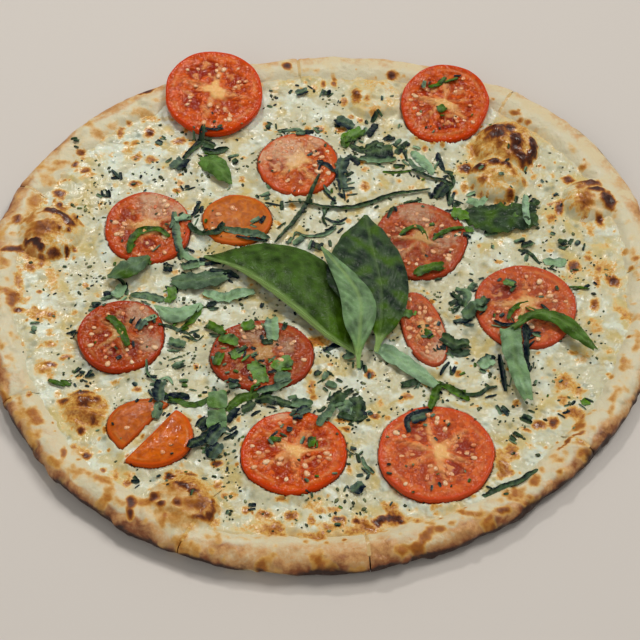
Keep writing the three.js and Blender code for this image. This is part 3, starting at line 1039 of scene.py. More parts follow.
@dataclass(frozen=True)
class SeedAndGlintFinish:
    """Wet tomato seeds in their jelly, and pale beads among them; the palest shades are painted highlights.
    """

    # The last, near-white shade is a painted highlight.
    shades: tuple[Colour, ...] = (srgb(210, 106, 52), srgb(228, 154, 100), srgb(238, 200, 156))

    def material(self) -> bpy.types.Material:
        """Makes the material.

        Returns:
            The material.
        """
        bench = Bench("tomato_seeds_and_glints")
        ground = bench.ramp(bench.value("shade"), *zip((0.0, 0.5, 1.0), self.shades))
        rough = bench.remap(bench.noise(1.2), 0.3, 0.7, 0.14, 0.3)
        return bench.finish(Base_Color=ground, Roughness=rough, Normal=bench.relief(bench.noise(0.5), 0.06),
                            Subsurface_Weight=0.2, Subsurface_Radius=(1.0, 0.6, 0.3), Subsurface_Scale=0.001)


# ---- Tomatoes ----


@dataclass(frozen=True)
class TomatoCut:
    """One tomato slice: its node, its size, how it lies, and what its cut face shows.

    The pockets of gel are spread round the core from the first angle. Milk is how far cheese films
    the face, as (angle, share of the radius, size in millimetres) for each patch. Dusk darkens the
    whole face and haze pales it. A half slice has a flat side, and a bare one hardly any gel.
    """

    node: str
    width: float
    depth: float
    turn: float = 0.0
    lean: float = 0.0
    toward: float = 0.0
    pockets: int = 5
    first: float = 0.0
    core: float = 0.2
    ripe: float = 1.0
    milk: tuple[tuple[float, float, float], ...] = ()
    flat: float | None = None
    bare: bool = False
    dusk: float = 0.0
    haze: float = 0.0


THICKNESS = 5.0
TOMATO_CUTS: tuple[TomatoCut, ...] = (
    TomatoCut("tomato_slice_1", 56, 61, 10, 5, 112, 4, 20, 0.24),
    TomatoCut("tomato_slice_2", 51, 57, -8, 6, 62, 5, 200, 0.2, dusk=0.07),
    TomatoCut("tomato_slice_3", 45, 46, 0, 0, 0, 5, 40, 0.3, 0.82,
              ((125, 0.5, 19), (165, 0.95, 12), (60, 0.9, 9)), dusk=0.08, haze=0.03),
    TomatoCut("tomato_slice_4", 47, 50, 20, 1.5, 90, 5, 190, 0.24, 0.95, ((75, 0.6, 17), (30, 0.9, 10)),
              dusk=0.19, haze=0.02),
    TomatoCut("tomato_slice_5", 38, 36, 0, 0, 0, 4, 0, 0.1, 0.06, bare=True, dusk=0.12),
    TomatoCut("tomato_slice_6", 51, 54, 0, 0, 0, 6, 15, 0.2, 1.0, ((95, 0.7, 14), (215, 0.7, 9), (0, 0.5, 9)),
              dusk=0.36, haze=0.07),
    TomatoCut("tomato_slice_7", 54, 56, 0, 1, 0, 5, 60, 0.22, dusk=0.17, haze=0.09),
    TomatoCut("tomato_slice_8", 46, 47, 0, 2, 180, 5, 100, 0.2, 1.0, ((340, 0.7, 11), (60, 0.7, 12)),
              dusk=0.36),
    TomatoCut("tomato_slice_9", 54, 46, 0, 0, 0, 5, 75, 0.22, 1.0, ((110, 0.6, 12), (20, 0.5, 9)),
              dusk=0.46, haze=0.03),
    TomatoCut("tomato_slice_10", 53, 51, 0, 1, 270, 5, 30, 0.16, 1.0, ((110, 0.95, 8),)),
    TomatoCut("tomato_slice_11", 59, 59, 0, 2, 270, 6, 10, 0.16, haze=0.05),
    TomatoCut("tomato_slice_12", 22, 50, 14, 0, 0, 4, 90, 0.18, 0.92, ((0, 1.0, 9), (300, 0.9, 8)),
              dusk=0.2, haze=0.11),
    TomatoCut("tomato_wedge_1", 40, 34, 0, 0, 0, 4, 0, 0.12, 0.34, flat=322, bare=True, dusk=0.17),
    TomatoCut("tomato_wedge_2", 44, 38, 0, 0, 0, 4, 30, 0.12, 0.5, flat=142, bare=True),
)


class TomatoSlice:
    """The mesh of one slice: face with core, walls and gel pockets, rounded skin, flat back."""

    RINGS = 36
    AROUND = 128
    SINK = 0.25
    # The skin's section: how far out and how far down from the face's edge.
    EDGE = ((0.0, 0.0), (0.4, 0.1), (0.8, 0.42), (1.02, 1.0), (1.1, 2.2), (0.8, 3.8), (0.2, 4.7))
    PLAIN = {"gel": 0.0, "pale": 0.0, "skin": 1.0, "milk": 0.0}
    # How many seeds and pale beads a slice has; the pale beads are painted highlights.
    SEEDS_AND_GLINTS = 28
    BARE_SEEDS_AND_GLINTS = 4
    NOISE_SEED = 100
    DRAW_SEED = 300

    def __init__(self, cut: TomatoCut, index: int) -> None:
        """Places the slice where its node lies.

        Args:
            cut: The slice's own facts.
            index: Its number, which seeds its unevenness.
        """
        self.cut = cut
        self.noise = Noise(self.NOISE_SEED + index)
        self.rng = np.random.default_rng(self.DRAW_SEED + index)
        self.jitter = self.rng.uniform(-1, 1, (cut.pockets, 3))
        self.step = math.tau / cut.pockets
        self.middles = [math.radians(cut.first) + (k + 0.16 * shift) * self.step
                        for k, shift in enumerate(self.jitter[:, 0])]
        self.plump = 0.9 if cut.bare else 0.2
        self.flat = None if cut.flat is None else heading(cut.flat)
        low, high = (np.array(corner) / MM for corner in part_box(cut.node))
        self.centre = (low + high) / 2 - self.box_middle()

    def box_middle(self) -> Array:
        """The middle of the box round the slice, from the middle of the whole slice that it is of.

        Returns:
            The middle, which only a half slice has elsewhere.
        """
        if not self.flat:
            return np.zeros(3)
        angle = np.linspace(0, math.tau, 361)
        x, y = self.cut.width / 2 * np.cos(angle), self.cut.depth / 2 * np.sin(angle)
        kept = x * self.flat[0] + y * self.flat[1] <= 0
        return np.array([*((part[kept].min() + part[kept].max()) / 2 for part in (x, y)), 0.0])

    def half_size(self, angle: Array) -> Array:
        """The outline's distance from the middle, in the slice's own turn.

        Args:
            angle: Angles in radians.

        Returns:
            The distances.
        """
        a, b = self.cut.width / 2, self.cut.depth / 2
        x, y = np.cos(angle), np.sin(angle)
        ripple, fine = self.noise.at(0.8, x, y), self.noise.at(0.28, x + 5.0, y)
        return a * b / np.sqrt((b * x) ** 2 + (a * y) ** 2) * (0.99 + 0.045 * ripple + 0.009 * fine)

    def outside(self, x: Array, y: Array) -> Array:
        """How far places about the middle are outside the slice, negative inside."""
        beyond = np.hypot(x, y) - self.half_size(np.arctan2(y, x))
        return np.maximum(beyond, x * self.flat[0] + y * self.flat[1] + 0.2) if self.flat else beyond

    def milk(self, share: Array, angle: Array, warp: Array) -> Array:
        """How far melted cheese films some places on the face.

        Args:
            share: The share of the radius.
            angle: The angle in radians.
            warp: Noise that makes the film's edge uneven.

        Returns:
            The film, 0 to 1.
        """
        film, way = np.zeros_like(share), angle + math.radians(self.cut.turn)
        for degrees, away, size in self.cut.milk:
            cos, sin = heading(degrees)
            gap = np.hypot(share * np.cos(way) - away * cos, share * np.sin(way) - away * sin)
            film = np.maximum(film, smooth(size * 1.15, size * 0.2, gap * self.cut.width / 2 + 3.2 * warp))
        return film

    def face(self, share: Array, angle: Array, out: Array) -> dict[str, Array]:
        """What the cut face shows.

        Args:
            share: The share of the radius, 0 at the whole slice's middle.
            angle: The angle in radians.
            out: The share of the way to the outline, which a straight cut brings nearer.

        Returns:
            The point values, and the relief as "relief".
        """
        x, y = share * np.cos(angle), share * np.sin(angle)
        layers = self.noise.layers
        warp, chunk = layers(0.3, 3, x, y), layers(0.14, 2, x + 5, y)
        gel, arms = np.zeros_like(share), np.zeros_like(share)
        for middle, (shift, reach, girth) in zip(self.middles, self.jitter):
            inner, outer = self.cut.core + 0.06 + 0.05 * reach, 0.69 + 0.08 * girth
            radial = np.abs(share - (inner + outer) / 2) / ((outer - inner) / 2)
            off = apart(angle, middle) / (self.step * (0.34 + 0.05 * girth))
            edge = (radial ** 2.6 + off ** 2.6) ** (1 / 2.6) + 0.4 * warp + 0.16 * chunk
            gel = np.maximum(gel, smooth(1.0, 0.8, edge) * (0.7 + 0.3 * reach))
            width = (0.11 + 0.04 * girth) * (1.15 - share)
            off = apart(angle, middle + self.step / 2) * share / width + 0.7 * warp
            arms = np.maximum(arms, smooth(1.3, 0.2, off) * smooth(0.9, 0.36, share) * (0.7 + 0.3 * shift))
        core = smooth(self.cut.core + 0.02, self.cut.core - 0.12, share + 0.2 * warp)
        jelly = 0.85 * smooth(0.12, 0.38, layers(0.2, 2, x + 3, y)) * gel
        slits = smooth(0.14, 0.02, np.abs(layers(0.24, 2, x * 0.8, y * 1.6 + 9)))
        slits = slits * smooth(0.2, 0.34, share + 0.1 * warp) * smooth(0.82, 0.66, share)
        gel = np.maximum(gel * smooth(-0.9, -0.3, chunk), 0.75 * slits)
        if self.cut.bare:
            gel, arms, core, jelly = gel * 0.12, arms * 0.1, core * 0.2, jelly * 0.1
        milk = self.milk(share, angle, warp)
        line = 0.34 * np.exp(-((out - 0.87) / 0.03) ** 2) * smooth(-0.3, 0.4, self.noise.at(0.4, x, y + 7))
        pale = np.clip(0.9 * core + 0.78 * arms, 0, 1) * (1 - 0.75 * gel) + 0.6 * jelly + line
        relief = (0.5 * core + 0.35 * arms - 0.95 * gel + 0.5 * jelly + 0.4 * milk + 0.3 * line
                  + 0.36 * layers(0.4, 3, x, y) + 0.16 * self.noise.at(0.08, x, y))
        return {"gel": gel * (1 - jelly), "pale": np.clip(pale, 0, 1), "milk": milk,
                "skin": 0.2 * smooth(0.68, 0.92, out) + 0.8 * smooth(0.94, 0.99, out),
                "relief": relief * smooth(1.0, 0.88, out) * (0.35 if self.cut.bare else 1.0)}

    def lift(self, points: Array) -> Array:
        """Turns, leans and places points of the lying slice.

        Args:
            points: Points about the slice's middle.

        Returns:
            The points on the pizza.
        """
        x, y = turned(points[..., 0], points[..., 1], heading(self.cut.turn))
        z = points[..., 2]
        (cos, sin), (level, up) = heading(self.cut.toward), heading(self.cut.lean)
        along = x * cos + y * sin
        ahead = along * level - z * up - along
        return points_at(x + ahead * cos, y + ahead * sin, z * level + along * up) + self.centre

    def top_at(self, x: Array, y: Array) -> tuple[Array, Array]:
        """The height of the face over some places.

        Args:
            x: Across.
            y: Away from the front.

        Returns:
            The heights, and how far outside the slice each place is.
        """
        dx, dy = x - self.centre[0], y - self.centre[1]
        cos, sin = heading(self.cut.toward)
        rise = (dx * cos + dy * sin) * math.tan(math.radians(self.cut.lean))
        return self.centre[2] + THICKNESS / 2 + rise, self.outside(*turned(dx, dy, heading(-self.cut.turn)))

    def spread(self, angle: Array) -> tuple[Array, Array]:
        """The point that the rows of points spread from, and how far the slice goes from it.

        Args:
            angle: Directions in radians.

        Returns:
            The point, and a distance for each direction.
        """
        if not self.flat:
            return np.zeros(2), self.half_size(angle)
        pivot = -self.cut.depth * 0.2 * np.array(self.flat)
        away = np.linspace(0.5, self.cut.width, 300)[:, None]
        beyond = self.outside(pivot[0] + away * np.cos(angle), pivot[1] + away * np.sin(angle))
        return pivot, np.array([np.interp(0.0, column, away[:, 0]) for column in beyond.T])

    def build(self, finish: bpy.types.Material) -> bpy.types.Object:
        """Makes the slice's mesh.

        Args:
            finish: The material.

        Returns:
            The object.
        """
        angle = np.linspace(0, math.tau, self.AROUND, endpoint=False)
        round_it = np.stack([np.cos(angle), np.sin(angle)])
        pivot, reach = self.spread(angle)
        reach = reach - max(out for out, _ in self.EDGE)
        top, rows = THICKNESS / 2 - self.SINK, []
        for share in 1 - (1 - np.linspace(0, 1, self.RINGS)[1:]) ** 1.15:
            x, y = pivot[:, None] + share * reach * round_it
            own = np.arctan2(y, x)
            value = self.face(np.hypot(x, y) / self.half_size(own), own, np.full_like(x, share))
            z = top + value.pop("relief") + self.plump * (1 - share ** 2)
            rows.append((points_at(x, y, z + self.SINK * smooth(1.0, 0.8, share)), value))
        film = smooth(0.2, 0.9, self.noise.at(0.5, *round_it)) * (0.5 if self.cut.milk else 0.0)
        for out, down in self.EDGE[1:]:
            x, y = pivot[:, None] + (reach + out) * round_it
            rows.append((points_at(x, y, top - down), {**self.PLAIN, "milk": film}))
        skin = Skin()
        self.close(skin, rows, pivot)
        return skin.piece(self.cut.node + "_flesh", finish, "tomato", [self.cut.node])

    def close(self, skin: Skin, rows: list[tuple[Array, dict[str, Array]]], pivot: Array) -> None:
        """Joins the rows into a closed mesh.

        Args:
            skin: The mesh to add to.
            rows: The rows, outward over the face and then down the skin.
            pivot: The point that the rows spread from.
        """
        own = {"ripe": self.cut.ripe, "dusk": self.cut.dusk, "haze": self.cut.haze}
        inner = {name: np.mean(value) for name, value in rows[0][1].items()}
        first = skin.add(self.lift(np.array([*pivot, rows[0][0][:, 2].mean()])), **own, **inner)
        number = [closed(skin.add(self.lift(points), **own, **value)) for points, value in rows]
        back = skin.add(self.lift(np.array([*pivot, -THICKNESS / 2])), **own, **self.PLAIN)
        start, end = number[0], number[-1]
        lid = points_at(first, start[:-1], start[1:])
        base = points_at(back, end[1:], end[:-1])
        skin.faces.append(np.concatenate([joined(number), lid, base]))

    def seeds(self) -> list[Array]:
        """Where the slice's seeds and pale beads lie; the beads' pale shades are painted highlights.

        Returns:
            For each its place, with its heading in radians, its shade and its size.
        """
        found, rng = [], self.rng
        for _ in range(self.BARE_SEEDS_AND_GLINTS if self.cut.bare else self.SEEDS_AND_GLINTS):
            middle = self.middles[int(rng.integers(self.cut.pockets))]
            # A loose one is a pale bead, larger than a seed: a painted highlight.
            loose = rng.uniform() < 0.45
            angle = middle + rng.uniform(-0.5, 0.5) * (1.0 if loose else 0.6) * self.step
            share = rng.uniform(0.35, 0.88) if loose else rng.uniform(self.cut.core + 0.14, 0.74)
            away = share * float(self.half_size(np.array([angle]))[0])
            x, y = away * math.cos(angle), away * math.sin(angle)
            if self.flat and x * self.flat[0] + y * self.flat[1] > -3.0:
                continue
            relief = self.face(*np.array([[share], [angle], [share]]))["relief"][0]
            place = self.lift(np.array([x, y, THICKNESS / 2 + relief + self.plump * (1 - share ** 2)]))
            # The loose beads' pale shades are painted highlights; the seeds keep darker shades of their own.
            shade = rng.uniform(0.55, 1.0) if loose else rng.uniform(0.0, 0.8)
            size = rng.uniform(0.7, 1.25) if loose else rng.uniform(0.6, 1.0)
            found.append(np.array([*place, angle + math.radians(self.cut.turn), shade, size]))
        return found


# ---- Dough and cheese ----


DOUGH_NOISE = Noise(21)


def hand_shaped(x: Array, y: Array, z: Array) -> Array:
    """How far hand-shaped dough stands off its plain form, with small blisters.

    Args:
        x: Across.
        y: Away from the front.
        z: Heights on the plain form.

    Returns:
        The distances.
    """
    noise, foot = DOUGH_NOISE.at, FORM.radius - FORM.rim_width
    lively = 0.45 + 0.8 * round_level(BAKE_ROUND, np.arctan2(y, x))
    rough = 1.5 * noise(24, x, y, z) + lively * (0.9 * noise(10, x, y, z * 1.4) + 0.26 * noise(4.2, x, y, z))
    blister = np.maximum(noise(7.5, x + 300, y, z) - 0.3, 0) * 2.6 * lively
    return (rough + blister - 0.4) * smooth(foot, foot + 8, FORM.ring(x, y))


def anywhere(rng: np.random.Generator, reach: float, inner: float = 0.0) -> Point:
    """A place within a reach of the middle, outside an inner share of the area, even over the rest."""
    angle, away = rng.uniform(0, math.tau), reach * math.sqrt(rng.uniform(inner, 1))
    return away * math.cos(angle), away * math.sin(angle)


@dataclass
class Bake:
    """Works out the ground: heights of dough and cheese, browning, white, stains and painted crease shade."""

    ground: Ground
    tomatoes: list[TomatoSlice]
    seed: int = 7
    scatter: int = 900
    sunken: int = 1100
    toast_reach: float = 174.0
    toast_edge: float = 166.0
    stain_reach: float = 160.0
    press_reach: float = 52.0
    slice_reach: float = 40.0
    lump: float = 1.35
    wrinkle: float = 1.3

    FAR = 99.0

    def run(self) -> None:
        """Fills every map."""
        g = self.ground
        self.noise = Noise(self.seed)
        self.rng = np.random.default_rng(self.seed)
        self.ring, self.angle = FORM.ring(g.x, g.y), np.arctan2(g.y, g.x)
        self.folds = 1.0 - 2.2 * np.abs(self.noise.layers(12, 2, g.x * 0.7, g.y * 1.3))
        self.cheese_heights()
        self.dough_heights()
        self.press_tomatoes()
        self.paint_toast()
        self.paint_white()
        self.top_heights()

    def swell(self, size: float, dx: float = 0.0, dy: float = 0.0, layers: int = 1) -> Array:
        """Noise over the whole ground, shifted so that no two uses are alike."""
        return self.noise.layers(size, layers, self.ground.x + dx, self.ground.y + dy)

    def raise_dome(self, z: Array, dome: Dome, blend: float) -> Array:
        """Lifts heights over a bubble, wrinkled like a baked skin.

        Args:
            z: The heights before.
            dome: The bubble.
            blend: How wide the fillet at its foot is.

        Returns:
            The heights after.
        """
        away = dome.away(self.ground.x, self.ground.y)
        top = FORM.dome_top(away, dome) * (1.1 + 0.07 * self.swell(10) + 0.03 * self.swell(4.5))
        return soft_max(z, top + self.wrinkle * self.folds * smooth(1.0, 0.7, away), blend)

    def cheese_heights(self) -> None:
        """The cheese's upper side, which sinks below the dough's at its ragged border."""
        g, swell = self.ground, self.swell
        z = np.interp(self.ring, *np.array(FORM.cheese_tops).T)
        z += FORM.crown_lift(self.ring, self.angle, z) * 0.8
        curds = np.abs(swell(6.4, 60, layers=2))
        self.crease = smooth(0.2, 0.0, curds)
        lumps = swell(17) * 0.5 + swell(7.5) * 0.5 + swell(3.8) * 0.22
        z += self.lump * (lumps + 0.45 * np.minimum(curds, 0.7) - 0.1)
        for dome in FORM.cheese_domes:
            z = self.raise_dome(z, dome, 0.8)
        ragged = swell(26) * 4.5 + swell(9) * 2.6 + swell(4) * 1.2
        self.past = self.ring + ragged - (FORM.radius - round_level(BORDER_ROUND, self.angle))
        z -= smooth(-9.0, 4.0, self.past) * 1.7 + np.maximum(self.past, 0) * 0.4
        healed = np.clip(0.45 + swell(20) * 0.6, 0.1, 1.0)
        z -= 0.55 * np.exp(-(FORM.cut_distance(g.x, g.y) / 0.9) ** 2) * healed
        g.maps["cheese"], g.maps["edge"] = z, smooth(-9.0, 0.0, self.past)

    def dough_heights(self) -> None:
        """The dough's upper side with its bubbles."""
        g = self.ground
        z = FORM.dough_top(g.x, g.y)
        z = z + hand_shaped(g.x, g.y, z)
        for dome in FORM.crust_domes:
            z = self.raise_dome(z, dome, 3.0)
        g.maps["dough"] = z

    def press_tomatoes(self) -> None:
        """Sinks the cheese under the tomato slices, draws it up round them and laps it over their edges."""
        g, noise = self.ground, self.noise.at
        z = g.maps["cheese"]
        g.maps["near_tomato"] = np.full(g.x.shape, self.FAR)
        for tomato in self.tomatoes:
            here = g.window(*tomato.centre[:2], self.press_reach)
            x, y, part = g.x[here], g.y[here], z[here]
            top, outside = tomato.top_at(x, y)
            stands = np.clip(top - np.maximum(part, g.maps["dough"][here]), 0.0, 9.0)
            low = smooth(6.0, 4.0, stands)
            lap = (1.5 * noise(12, x + 70, y) + 0.9 * noise(4.5, x, y + 70) - 0.75) * low
            over = smooth(-0.2, 0.5, lap) * low
            rise = np.minimum(stands, 3.2) * (0.6 + 0.2 * noise(9, x, y) + 0.4 * over)
            part = part + rise * np.exp(-(np.maximum(outside, 0) / 4.2) ** 2) * low
            film = top - tomato.SINK + 0.5 * smooth(0.0, 1.2, outside + lap)
            sunk = np.minimum(part, top - THICKNESS - 0.6)
            inside = np.where(outside + lap > 0, np.maximum(film, part), sunk)
            z[here] = np.where(outside < 0, inside, part)
            near = np.where(lap > 0, outside + lap, outside)
            g.maps["near_tomato"][here] = np.minimum(g.maps["near_tomato"][here], near)

    def stamp(self, layer: str, mark: Spot | Arc, reach: float) -> None:
        """Browns a mark into a map.

        Args:
            layer: The map's name.
            mark: The mark.
            reach: How far from its centre it can show.
        """
        g = self.ground
        here = g.window(mark.x, mark.y, reach)
        mask = mark.mask(g.x[here], g.y[here], self.ragged[here])
        g.maps[layer][here] = np.maximum(g.maps[layer][here], mask)

    def paint_toast(self) -> None:
        """Browns the placed marks, the bubbles and a scatter of small marks, denser towards the rim."""
        g, rng, swell = self.ground, self.rng, self.swell
        g.blank("toast")
        self.ragged = swell(3.2, 0, 40) + 0.5 * swell(1.5)
        for mark in TOAST_MARKS:
            self.stamp("toast", mark, 34)
        for _ in range(self.scatter):
            x, y = anywhere(rng, self.toast_reach, 0.02)
            size, dark = rng.gamma(3.0, 0.8) + 1.2, rng.uniform(0.16, 0.66)
            ring = float(FORM.ring(np.array(x), np.array(y)))
            if ring > self.toast_edge or rng.uniform() > 0.36 + 0.64 * (ring / 160) ** 2:
                continue
            wide = size * rng.uniform(0.5, 1.0)
            self.stamp("toast", Spot(x, y, size, wide, dark, rng.uniform(0, 180)), 12)
        toast = g.maps["toast"]
        for dome in DOMES:
            away = dome.away(g.x, g.y) + 0.1 * self.ragged
            mottle = 1.06 + 0.22 * self.noise.at(5.6, g.x, g.y * 1.4) + 0.08 * swell(2.4)
            inside = smooth(1.1, 0.9, away)
            toast = toast * (1 - inside + inside * np.clip(mottle, 0.6, 1.15))
            amber = dome.brown * (0.92 + 0.4 * swell(9, 9, layers=2)) * smooth(1.12, 0.6, away)
            amber = np.maximum(amber, 0.12 * smooth(1.15, 0.95, away))
            toast = np.maximum(toast, np.clip(amber, 0, 1))
        golden = smooth(118, 158, self.ring) * smooth(-0.1, 0.8, swell(13, 20, layers=3))
        level = round_level(BAKE_ROUND, self.angle)
        toast = np.maximum(toast, 0.72 * golden * level)
        border = np.exp(-((self.past + 1.5) / 4.0) ** 2) * smooth(-0.5, 0.6, swell(8, 0, 61, 2))
        toast = np.maximum(toast, border * (0.18 + 0.42 * level))
        freckles = smooth(0.4, 0.8, swell(2.6, 0, 11)) * smooth(0.0, 0.5, swell(19, 31))
        g.maps["toast"] = np.clip(np.maximum(toast, 0.3 * freckles), 0, 1)
        for layer, domes in (("cheese", FORM.cheese_domes), ("dough", FORM.crust_domes)):
            for dome in domes:
                g.maps[layer] += 1.2 * smooth(1.1, 0.85, dome.away(g.x, g.y)) * g.maps["toast"]

    def paint_white(self) -> None:
        """Whitens the cheese in patches and beside the tomatoes, stains it with herbs and paints shade in its
        creases.
        """
        g, rng, swell = self.ground, self.rng, self.swell
        milky = smooth(0.15, 0.75, swell(30, 77, layers=3))
        beside = np.exp(-(np.maximum(g.maps["near_tomato"], 0) / 3.2) ** 2)
        beside = beside * smooth(-0.3, 0.6, swell(16, 0, 33))
        pool = smooth(42, 20, np.hypot((g.x + 104) / 1.3, g.y - 92)) * (0.36 + 0.4 * swell(7, 0, 15))
        g.maps["white"] = np.clip(np.maximum(np.maximum(milky * 0.6, beside * 0.8), pool), 0, 1)
        g.blank("stain")
        for _ in range(self.sunken):
            x, y = anywhere(rng, self.stain_reach)
            size = rng.uniform(1.4, 4.6)
            self.stamp("stain", Spot(x, y, size, size * rng.uniform(0.5, 1), turn=rng.uniform(0, 180),
                                     dark=rng.uniform(0.15, 0.75)), 9)
        # Painted shade in the creases between the curds, stronger in broad patches.
        g.maps["crease_shade"] = self.crease * np.clip(0.15 + 0.5 * swell(15, 140, layers=2), 0.0, 0.5)

    def top_heights(self) -> None:
        """What a topping lies on: cheese, dough or tomato, whichever is highest."""
        g = self.ground
        top = np.maximum(g.maps["cheese"], g.maps["dough"])
        for tomato in self.tomatoes:
            here = g.window(*tomato.centre[:2], self.slice_reach)
            face, outside = tomato.top_at(g.x[here], g.y[here])
            top[here] = np.where(outside < -0.3, np.maximum(face + 0.2, top[here]), top[here])
        g.maps["top"] = top


@dataclass
class SliceFan:
    """Rows of places from the cuts' crossing out to the edge, for one slice."""

    start: float
    end: float
    set_back: float
    cell: float
    inner_ring: float = 62.0

    HALVINGS = 22
    SEARCH = (20.0, 225.0)

    def __post_init__(self) -> None:
        """Finds the slice's own tip."""
        self.half = math.radians((self.end - self.start) / 2)
        away, (cos, sin) = self.set_back / math.sin(self.half), heading((self.start + self.end) / 2)
        self.tip = (FORM.cut_centre[0] + away * cos, FORM.cut_centre[1] + away * sin)

    def columns(self, ring: float) -> int:
        """How many cells a row has at a ring: halved twice towards the tip."""
        full = int(math.ceil(self.half * 2 * (FORM.radius + 6) / self.cell / 4) * 4)
        return full if ring > 105 else full // 2 if ring > self.inner_ring - 18 else full // 4

    def row(self, ring: float, coarse: int = 1) -> tuple[Array, Array]:
        """Places at one ring across the slice. A ring inside the inner one is a share of it.

        Args:
            ring: The plain radius.
            coarse: How many cells are made one.

        Returns:
            The places' x and y.
        """
        angle = np.radians(np.linspace(self.start, self.end, self.columns(ring) // coarse + 1))
        away = self.distance(max(ring, self.inner_ring), angle) * min(ring / self.inner_ring, 1.0)
        return self.tip[0] + away * np.cos(angle), self.tip[1] + away * np.sin(angle)

    def distance(self, ring: float, angle: Array) -> Array:
        """How far along each ray a ring lies.

        Args:
            ring: The plain radius.
            angle: The rays' angles in radians.

        Returns:
            The distances from the tip.
        """
        low, high = (np.full_like(angle, end) for end in self.SEARCH)
        for _ in range(self.HALVINGS):
            middle = (low + high) / 2
            x, y = self.tip[0] + middle * np.cos(angle), self.tip[1] + middle * np.sin(angle)
            inside = FORM.ring(x, y) < ring
            low, high = np.where(inside, middle, low), np.where(inside, high, middle)
        return (low + high) / 2


def slice_solid(skin: Skin, over: list[Array], under: list[Array]) -> None:
    """Joins a slice's rows, which run out over the top and back in underneath, and closes its cuts.

    Args:
        skin: The mesh that holds the points.
        over: Point numbers of each row out to the edge.
        under: Point numbers of each row back in.
    """
    faces = [joined(over + under)]
    points = np.concatenate(skin.points)[:, :2]
    tip = points[over[0][0]]
    for side in (0, -1):
        top = np.array([row[side] for row in over])
        bottom = np.array([row[side] for row in [*under[::-1], over[-1]]])
        pair = (bottom, top) if side else (top, bottom)
        faces.append(between(*pair, *(np.hypot(*(points[line] - tip).T) for line in pair)))
    skin.faces.append(np.concatenate(faces))


